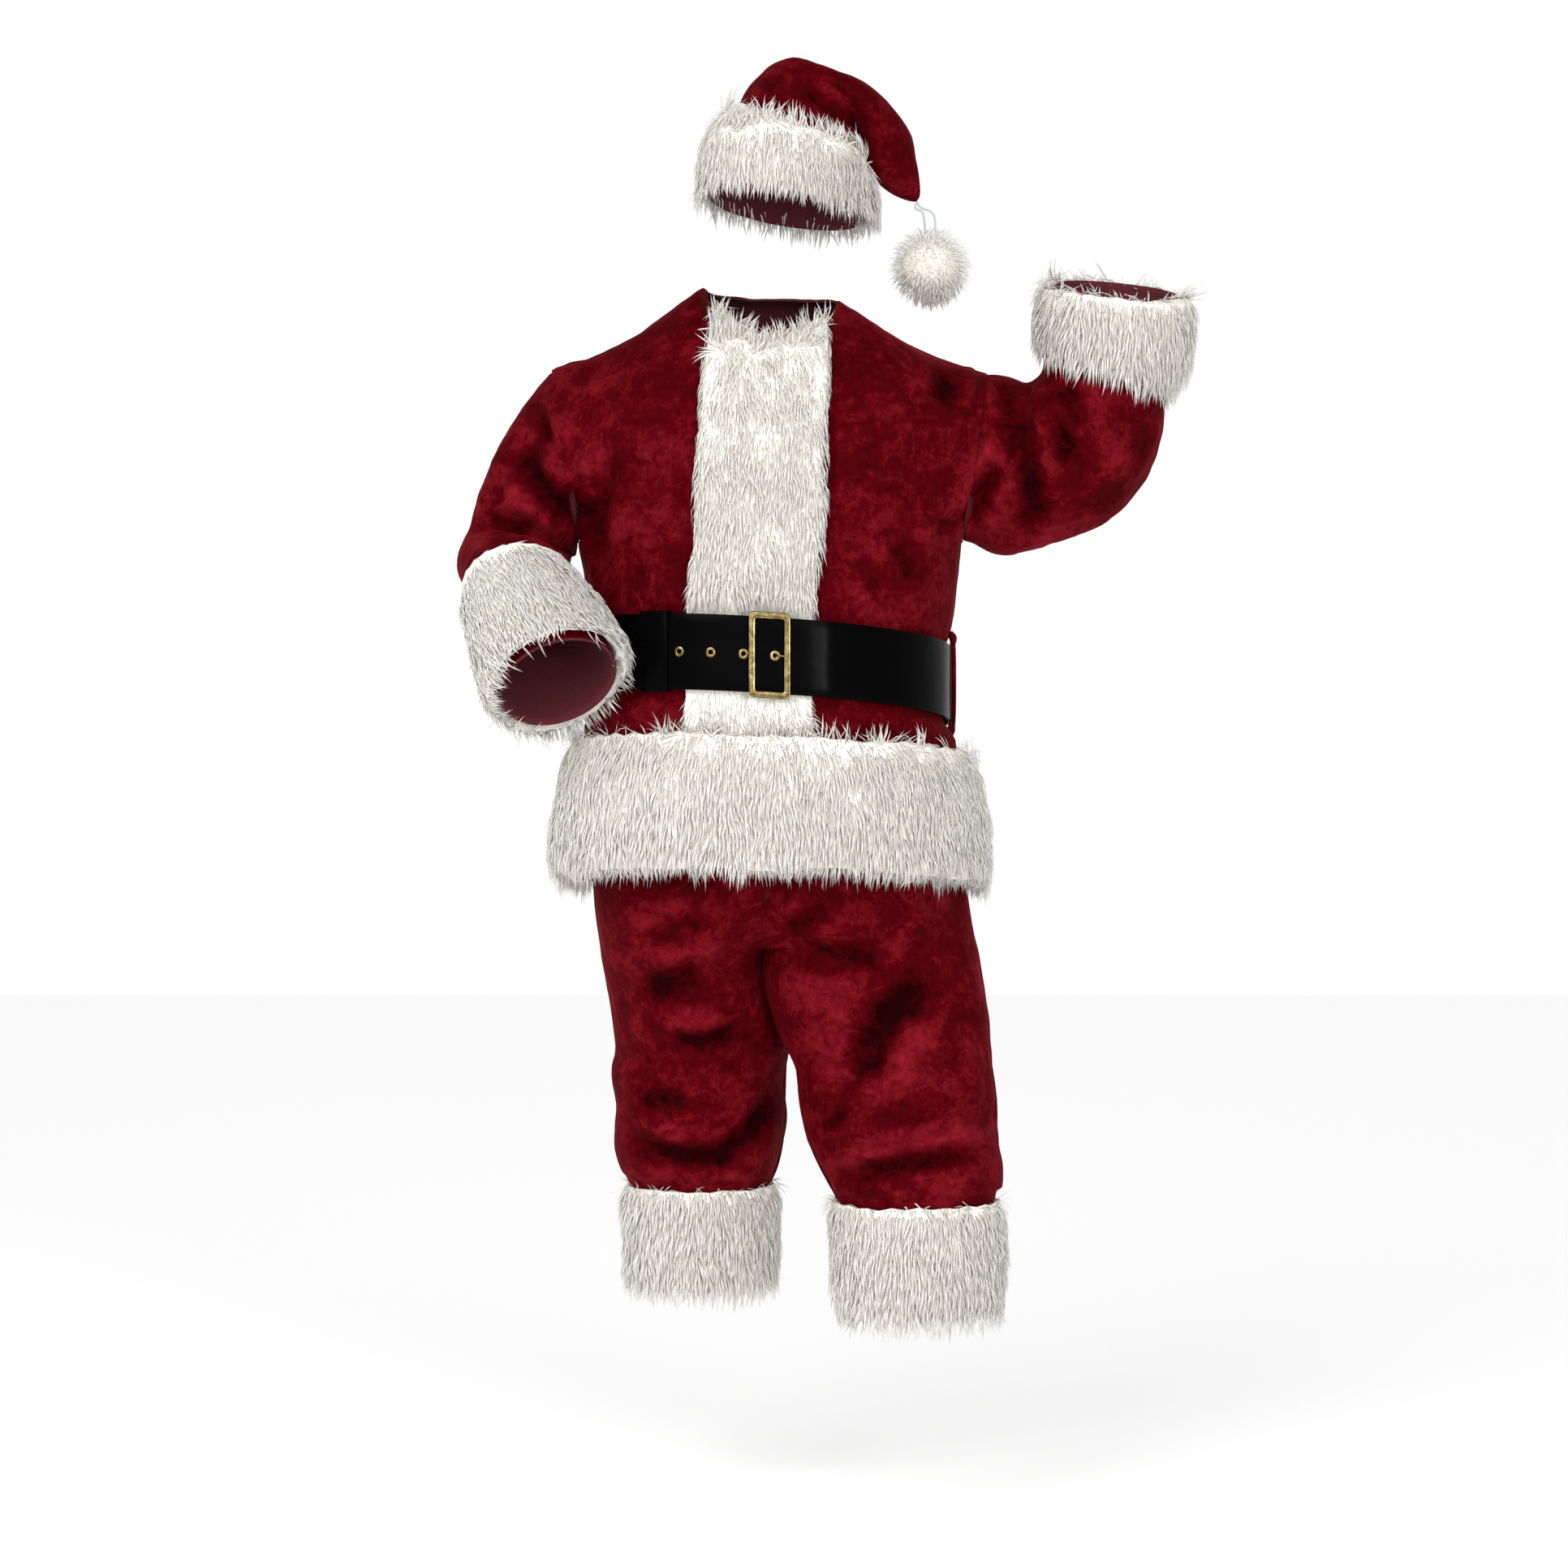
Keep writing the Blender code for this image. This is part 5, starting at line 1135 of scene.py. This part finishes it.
def furPiece(node, nap, core, seed, length, top, end, overrun):
    # Locks lie along the nap; at the trim's first edge and on its upper faces they stand up
    # and out. Each share below is a column, one row for each point of the backing.
    make = furMake
    nap = np.array(Vector(nap).normalized())
    piece, places, normals, reach = furBacking(node, nap, core, overrun)
    down = (normals @ nap)[:, None]
    uneven = waves(places, make["tufts"])[:, None]
    nearStart = bell(reach["start"][0], make["edge"])
    nearEnd = bell(reach["end"][0], make["edge"] * make["endWider"]) * end
    nearSide = bell(reach["side"][0], make["edge"])
    sideWay, endWay = reach["side"][1], reach["end"][1]
    shoulder = eased(-down, *make["shoulder"])
    tufted = eased(uneven, -make["tufted"], make["tufted"])
    upward = np.maximum(nearStart, shoulder * tufted) * top
    over = shoulder * (1.0 - tufted) * (1.0 - nearStart)
    mouth = eased(down, *make["inMouth"])
    brim = eased(-down, *make["brim"]) * upward
    arm = places - np.array(core)
    across = unit(arm - nap * (arm @ nap)[:, None])
    level = normals - nap * down

    kinds = np.hstack([upward, over, mouth, brim])

    def weighed(key):
        return (kinds @ make[key])[:, None]

    toSide, toEnd = make["combEdges"]
    comb = nap * (1.0 + weighed("combAlong")) + across * weighed("combAcross")
    comb = comb + sideWay * nearSide * toSide + endWay * nearEnd * toEnd
    least, more = make["standAcross"]
    stand = level + across * (least + more * upward) * (1.0 - mouth)
    stand = stand + nap * weighed("standAlong") + sideWay * nearSide * make["standSide"]
    layAcross, layAlong = make["lay"]
    lay = level + across * layAcross + nap * down * layAlong

    gap = gapsTo(beltTree, places, length)[:, None]
    cropped = make["mouth"][node in make["shorn"]]
    share = make["long"]
    tufts = share["tufts"] * uneven * np.maximum(nearEnd, upward)
    long = length * (1.0 + share["end"] * nearEnd + share["upward"] * upward + tufts)
    long = long * (1.0 - share["over"] * over) * (1.0 - cropped * mouth)
    long = long * (1.0 - share["brim"] * brim) * (1.0 + share["side"] * uneven * nearSide)
    long = np.minimum(long, np.maximum(gap * make["pressedPast"], make["shortest"]))

    pile = piece.data.attributes["pile"].data
    kept = np.where(gap[:, 0] < make["pressed"], 0.0, readOut(pile, "value"))
    pile.foreach_set("value", kept)
    setAttribute(piece, "comb", "FLOAT_VECTOR", unit(comb))
    setAttribute(piece, "stand", "FLOAT_VECTOR", unit(stand))
    setAttribute(piece, "reach", "FLOAT", long)
    setAttribute(piece, "lay", "FLOAT_VECTOR", unit(lay))
    setAttribute(piece, "stray", "FLOAT", lockMake["stray"] + weighed("stray"))
    made = locksOn(piece, node + "Locks", combedLocks, seed)
    declare(piece, "fur", node)
    print("  fur", node, "area", round(wallArea(piece), 3), "triangles", triangles(made))
    return piece, made


fall = (0.0, 0.0, -1.0)
furTrims = {
    # node: way the pile is combed, a point on its core, seed, length, tufts at first edge and
    # end, how far the backing is drawn on past its end, flat width and length of its strip
    "hem_fur": (fall, (0.0, 0.0, -0.6), 11, 0.032, 1.0, 1.0, 0.0, (0.175, 1.58)),
    "placket_fur": (fall, (0.0, 0.0, -0.3), 12, 0.028, 0.6, 0.3, 0.022, (0.165, 0.57)),
    "leg_cuff_left": (fall, None, 13, 0.032, 0.40, 0.8, 0.0, (0.145, 0.60)),
    "leg_cuff_right": (fall, None, 14, 0.032, 0.40, 0.8, 0.0, (0.155, 0.63)),
    "sleeve_cuff_left": ((0.38, -0.66, -0.65), None, 15, 0.031, 0.9, 0.8, 0.0, (0.175, 0.56)),
    "sleeve_cuff_right": ((-0.05, 0.2, -0.98), None, 16, 0.031, 0.9, 0.8, 0.0, (0.140, 0.50)),
    "hat_band_fur": (fall, None, 17, 0.029, 1.0, 0.6, 0.0, (0.120, 0.64)),
}
for node, (nap, core, seed, length, top, end, overrun, flat) in furTrims.items():
    low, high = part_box(node)
    core = core or (low + high) / 2.0
    trim, pile = furPiece(node, nap, np.array(core), seed, length, top, end, overrun)
print("stage: fur made")


# Pompom: a backing ball with the pile standing out all round, and its thread loop.

pompomMake = {
    "core": 0.039, "rounds": 4, "length": 0.0185, "spacing": 0.0029, "wild": 0.9, "seed": 21,
    "lean": 0.1,  # how far the pile's fall leans outwards
}


def makePompom():
    low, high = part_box("pompom")
    mesh = bmesh.new()
    bmesh.ops.create_icosphere(
        mesh, subdivisions=pompomMake["rounds"], radius=pompomMake["core"],
        matrix=Matrix.Translation((low + high) / 2.0))
    ball = toObject(mesh, "pompomBacking", backing)
    places, normals = coordinates(ball)
    comb = fall - normals * (normals @ fall)[:, None]
    setAttribute(ball, "comb", "FLOAT_VECTOR", comb + normals * pompomMake["lean"])
    setAttribute(ball, "stand", "FLOAT_VECTOR", normals)
    setAttribute(ball, "lay", "FLOAT_VECTOR", normals)
    for name, value in (
            ("reach", pompomMake["length"]), ("pile", 1.0), ("stray", lockMake["stray"])):
        setAttribute(ball, name, "FLOAT", np.full(len(places), value))
    locksOn(
        ball, "pompomLocks", puffLocks, pompomMake["seed"], pompomMake["spacing"],
        pompomMake["wild"])
    declare(ball, "fur", "pompom")


def smoothCopy(node, look, slot, levels, broken=None):
    # A merged copy of a CAD piece, its edges broken by a width where they turn past an angle.
    mesh = mergedCopy(node)
    if broken:
        width, degrees = broken
        bmesh.ops.bevel(
            mesh, geom=sharpEdges(mesh, math.radians(degrees)), offset=width, affect="EDGES",
            segments=2, profile=0.5, material=-1)
    made = toObject(mesh, node + "Piece", look)
    if levels:
        subdivided(made, levels)
    declare(made, slot, node)


makePompom()
smoothCopy("pompom_loop", thread, "cord", 2)
print("stage: pompom made")


# Belt: the strap is rebuilt from its solid's four long edges, then rounded, and holed for the
# eyelets.

beltMake = {
    "longEdge": math.radians(50.0),  # harder edges than this bound the strap's two faces
    "cuts": 4,  # new sections between two of the solid's
    "columns": 8,
    "thick": 0.0034,
    "round": 0.0009,
    "roundPast": math.radians(60.0),
    "hole": 0.0034,
    "holeSides": 20,
    "holeDepth": 0.0105,
}


def edgeChains(mesh):
    # The hard edges of a strap's two faces, each from one corner of its buckle end to the other.
    near = {}
    for edge in sharpEdges(mesh, beltMake["longEdge"]):
        for vert in edge.verts:
            near.setdefault(vert, []).append(edge.other_vert(vert))
    corners = [vert for vert in near if len(near[vert]) == 3]
    chains = []
    used = set()
    for corner in corners:
        for step in near[corner]:
            if step in corners or (corner, step) in used:
                continue
            chain = [corner, step]
            while chain[-1] not in corners:
                onward = [vert for vert in near[chain[-1]] if vert != chain[-2]]
                chain.append(onward[0])
            used.add((chain[-1], chain[-2]))
            chains.append([vert.co.copy() for vert in chain])
    return chains


def smoothRun(points, cuts):
    # Places along a smooth curve through the points, cuts of them between two.
    knots = [points[0]] + points + [points[-1]]
    run = []
    for index in range(1, len(knots) - 2):
        before, start, end, after = knots[index - 1:index + 3]
        for step in range(cuts):
            part = step / cuts
            run.append((
                2.0 * start + (end - before) * part
                + (2.0 * before - 5.0 * start + 4.0 * end - after) * part ** 2
                + (3.0 * start - before - 3.0 * end + after) * part ** 3
            ) / 2.0)
    return run + [points[-1]]


def makeStrap():
    mesh = mergedCopy("belt_strap")
    chains = edgeChains(mesh)
    mesh.free()

    def spread(chain):
        return sum(math.hypot(point.x, point.y) for point in chain) / len(chain)

    # Each run goes out along one long edge, round the tip, and back along the other.
    outer = max(chains, key=spread)
    half = len(outer) // 2
    low, high = [
        smoothRun(run, beltMake["cuts"]) for run in sorted(
            (outer[:half], outer[half:][::-1]), key=lambda run: sum(point.z for point in run))
    ]
    sections = len(low) - 1
    mesh = bmesh.new()
    made = bmesh.ops.create_grid(
        mesh, x_segments=sections, y_segments=beltMake["columns"], size=0.5)["verts"]
    for vert in made:
        run = round((vert.co.x + 0.5) * sections)
        vert.co = low[run].lerp(high[run], vert.co.y + 0.5)
    bmesh.ops.recalc_face_normals(mesh, faces=mesh.faces)
    middle = mesh.faces[:][len(mesh.faces) // 2]
    centre = middle.calc_center_median()
    if middle.normal.x * centre.x + middle.normal.y * centre.y < 0.0:
        bmesh.ops.reverse_faces(mesh, faces=mesh.faces)
    strap = toObject(mesh, "beltStrapPiece", patent)
    wall = strap.modifiers.new("thickness", "SOLIDIFY")
    wall.thickness = beltMake["thick"]
    wall.offset = -1.0
    edge = strap.modifiers.new("edges", "BEVEL")
    edge.width = beltMake["round"]
    edge.segments = 3
    edge.limit_method = "ANGLE"
    edge.angle_limit = beltMake["roundPast"]
    applied(strap)
    cutHoles(strap)
    strap.data.shade_smooth()
    declare(strap, "patent", "belt_strap")


def eyeletPlace(node):
    # Centre and outward direction of an eyelet.
    points = np.array([vert.co for vert in frame["nodes"][node].data.vertices])
    centre = (points.min(axis=0) + points.max(axis=0)) / 2.0
    _, _, ways = np.linalg.svd(points - centre, full_matrices=False)
    out = Vector(ways[2])
    centre = Vector(centre)
    if out.x * centre.x + out.y * centre.y < 0.0:
        out.negate()
    return centre, out


def alongAxis(centre, out):
    return Matrix.Translation(centre) @ out.to_track_quat("Z", "Y").to_matrix().to_4x4()


eyeletNodes = ["eyelet_%d" % number for number in range(1, 6)]


def cutHoles(strap):
    mesh = bmesh.new()
    radius = beltMake["hole"]
    for node in eyeletNodes:
        bmesh.ops.create_cone(
            mesh, cap_ends=True, segments=beltMake["holeSides"], radius1=radius,
            radius2=radius, depth=beltMake["holeDepth"], matrix=alongAxis(*eyeletPlace(node)))
    cutter = toObject(mesh, "holeCutter", patent)
    cut = strap.modifiers.new("holes", "BOOLEAN")
    cut.operation = "DIFFERENCE"
    cut.object = cutter
    cut.solver = "EXACT"
    applied(strap)
    bpy.data.objects.remove(cutter)


eyeletMake = {
    # radius and lift of the rim's section, from the middle of the solid's thickness
    "section": (
        (0.0024, -0.0019), (0.0031, -0.0021), (0.0032, 0.0010), (0.0064, 0.0009), (0.0067, 0.0013),
        (0.0064, 0.0017), (0.0054, 0.0021), (0.0042, 0.0022), (0.0031, 0.0019), (0.0025, 0.0012),
    ),
    "steps": 36,
    "weld": 0.00001,
}


def makeEyelet(node):
    mesh = bmesh.new()
    points = [mesh.verts.new((radius, 0.0, lift)) for radius, lift in eyeletMake["section"]]
    edges = [mesh.edges.new(pair) for pair in zip(points, points[1:] + points[:1])]
    bmesh.ops.spin(
        mesh, geom=points + edges, cent=(0.0, 0.0, 0.0), axis=(0.0, 0.0, 1.0),
        dvec=(0.0, 0.0, 0.0), angle=2.0 * math.pi, steps=eyeletMake["steps"], use_merge=True)
    bmesh.ops.remove_doubles(mesh, verts=mesh.verts, dist=eyeletMake["weld"])
    bmesh.ops.recalc_face_normals(mesh, faces=mesh.faces)
    bmesh.ops.transform(mesh, matrix=alongAxis(*eyeletPlace(node)), verts=mesh.verts)
    declare(toObject(mesh, node + "Piece", brass), "brass", node)


makeStrap()
for node in eyeletNodes:
    makeEyelet(node)
smoothCopy("belt_keeper", patent, "patent", 0, (0.0006, 40.0))
smoothCopy("buckle_frame", brass, "brass", 0, (0.0009, 28.0))
smoothCopy("buckle_prong", brass, "brass", 1)
print("stage: belt made")


# View: camera, floor and light.

view = {
    "aim": Vector((0.0172, 0.0, -0.587)),
    "lens": 95.3,
    "sensor": 36.0,
    "floor": 9.0,
    "floorColour": (0.90, 0.90, 0.90, 1.0),
    "floorSurface": {
        "Roughness": 0.9, "Specular IOR Level": 0.1, "Emission Color": (1.0, 1.0, 1.0, 1.0),
        "Emission Strength": 0.30,
    },
    "lightAim": Vector((0.0, 0.0, -0.5)),
    # lamp: place, width and height, power
    "lamps": {
        "keyLight": ((-2.0, -3.6, 1.4), (2.2, 2.2), 60.0),
        "fillLight": ((1.9, -4.0, 0.3), (1.3, 2.2), 28.0),
        "glintLight": ((1.9, -4.1, -0.3), (0.9, 0.6), 30.0),
    },
    "softPower": 1.5,
    "softAngle": math.radians(70.0),
    "softTurn": (math.radians(60.0), 0.0, math.radians(-12.0)),
    # the world's brightness from front to back, and its dimming overhead: low, high, from, to
    "backdrop": (0.38, 1.0, -0.5, 0.35),
    "overhead": (1.0, 0.5, 0.25, 0.8),
}


def placed(name, data, place, turn):
    made = bpy.data.objects.new(name, data)
    made.location = place
    made.rotation_euler = turn
    bpy.context.scene.collection.objects.link(made)
    return made


def towards(place, aim):
    return (aim - Vector(place)).to_track_quat("-Z", "Y").to_euler()


def makeCamera():
    data = bpy.data.cameras.new("camera")
    data.lens = view["lens"]
    data.sensor_width = view["sensor"]
    bpy.context.scene.camera = placed("camera", data, eye, towards(eye, view["aim"]))


def makeStage():
    look = Look("paleStage").shade(view["floorSurface"], view["floorColour"])
    mesh = bmesh.new()
    bmesh.ops.create_grid(mesh, x_segments=1, y_segments=1, size=view["floor"])
    bmesh.ops.translate(mesh, verts=mesh.verts, vec=(0.0, 0.0, floorLevel))
    toObject(mesh, "floor", look)


def makeLights():
    for name, (place, size, power) in view["lamps"].items():
        data = bpy.data.lights.new(name, "AREA")
        data.shape = "RECTANGLE"
        data.size, data.size_y = size
        data.energy = power
        placed(name, data, place, towards(place, view["lightAim"]))
    soft = bpy.data.lights.new("softLight", "SUN")
    soft.energy = view["softPower"]
    soft.angle = view["softAngle"]
    placed("softLight", soft, (0.0, 0.0, 0.0), view["softTurn"])


def makeWorld():
    # White behind the suit, dimmer in front of it and overhead.
    world = bpy.data.worlds.new("studio")
    world.use_nodes = True
    g = Graph(world.node_tree)
    way = g.add("ShaderNodeTexCoord", out=0)
    depth = g.add("ShaderNodeSeparateXYZ", None, {0: way}, out=1)
    height = g.add("ShaderNodeSeparateXYZ", None, {0: way}, out=2)
    glow = g.mapped(depth, *view["backdrop"]) * g.mapped(height, *view["overhead"])
    paint = world.node_tree.nodes["Background"]
    g.feed(paint.inputs["Color"], (1.0, 1.0, 1.0, 1.0))
    g.feed(paint.inputs["Strength"], glow)
    bpy.context.scene.world = world


makeCamera()
makeStage()
makeLights()
makeWorld()
bpy.context.scene.view_settings.view_transform = "Standard"

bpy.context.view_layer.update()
print("stage: scene ready")
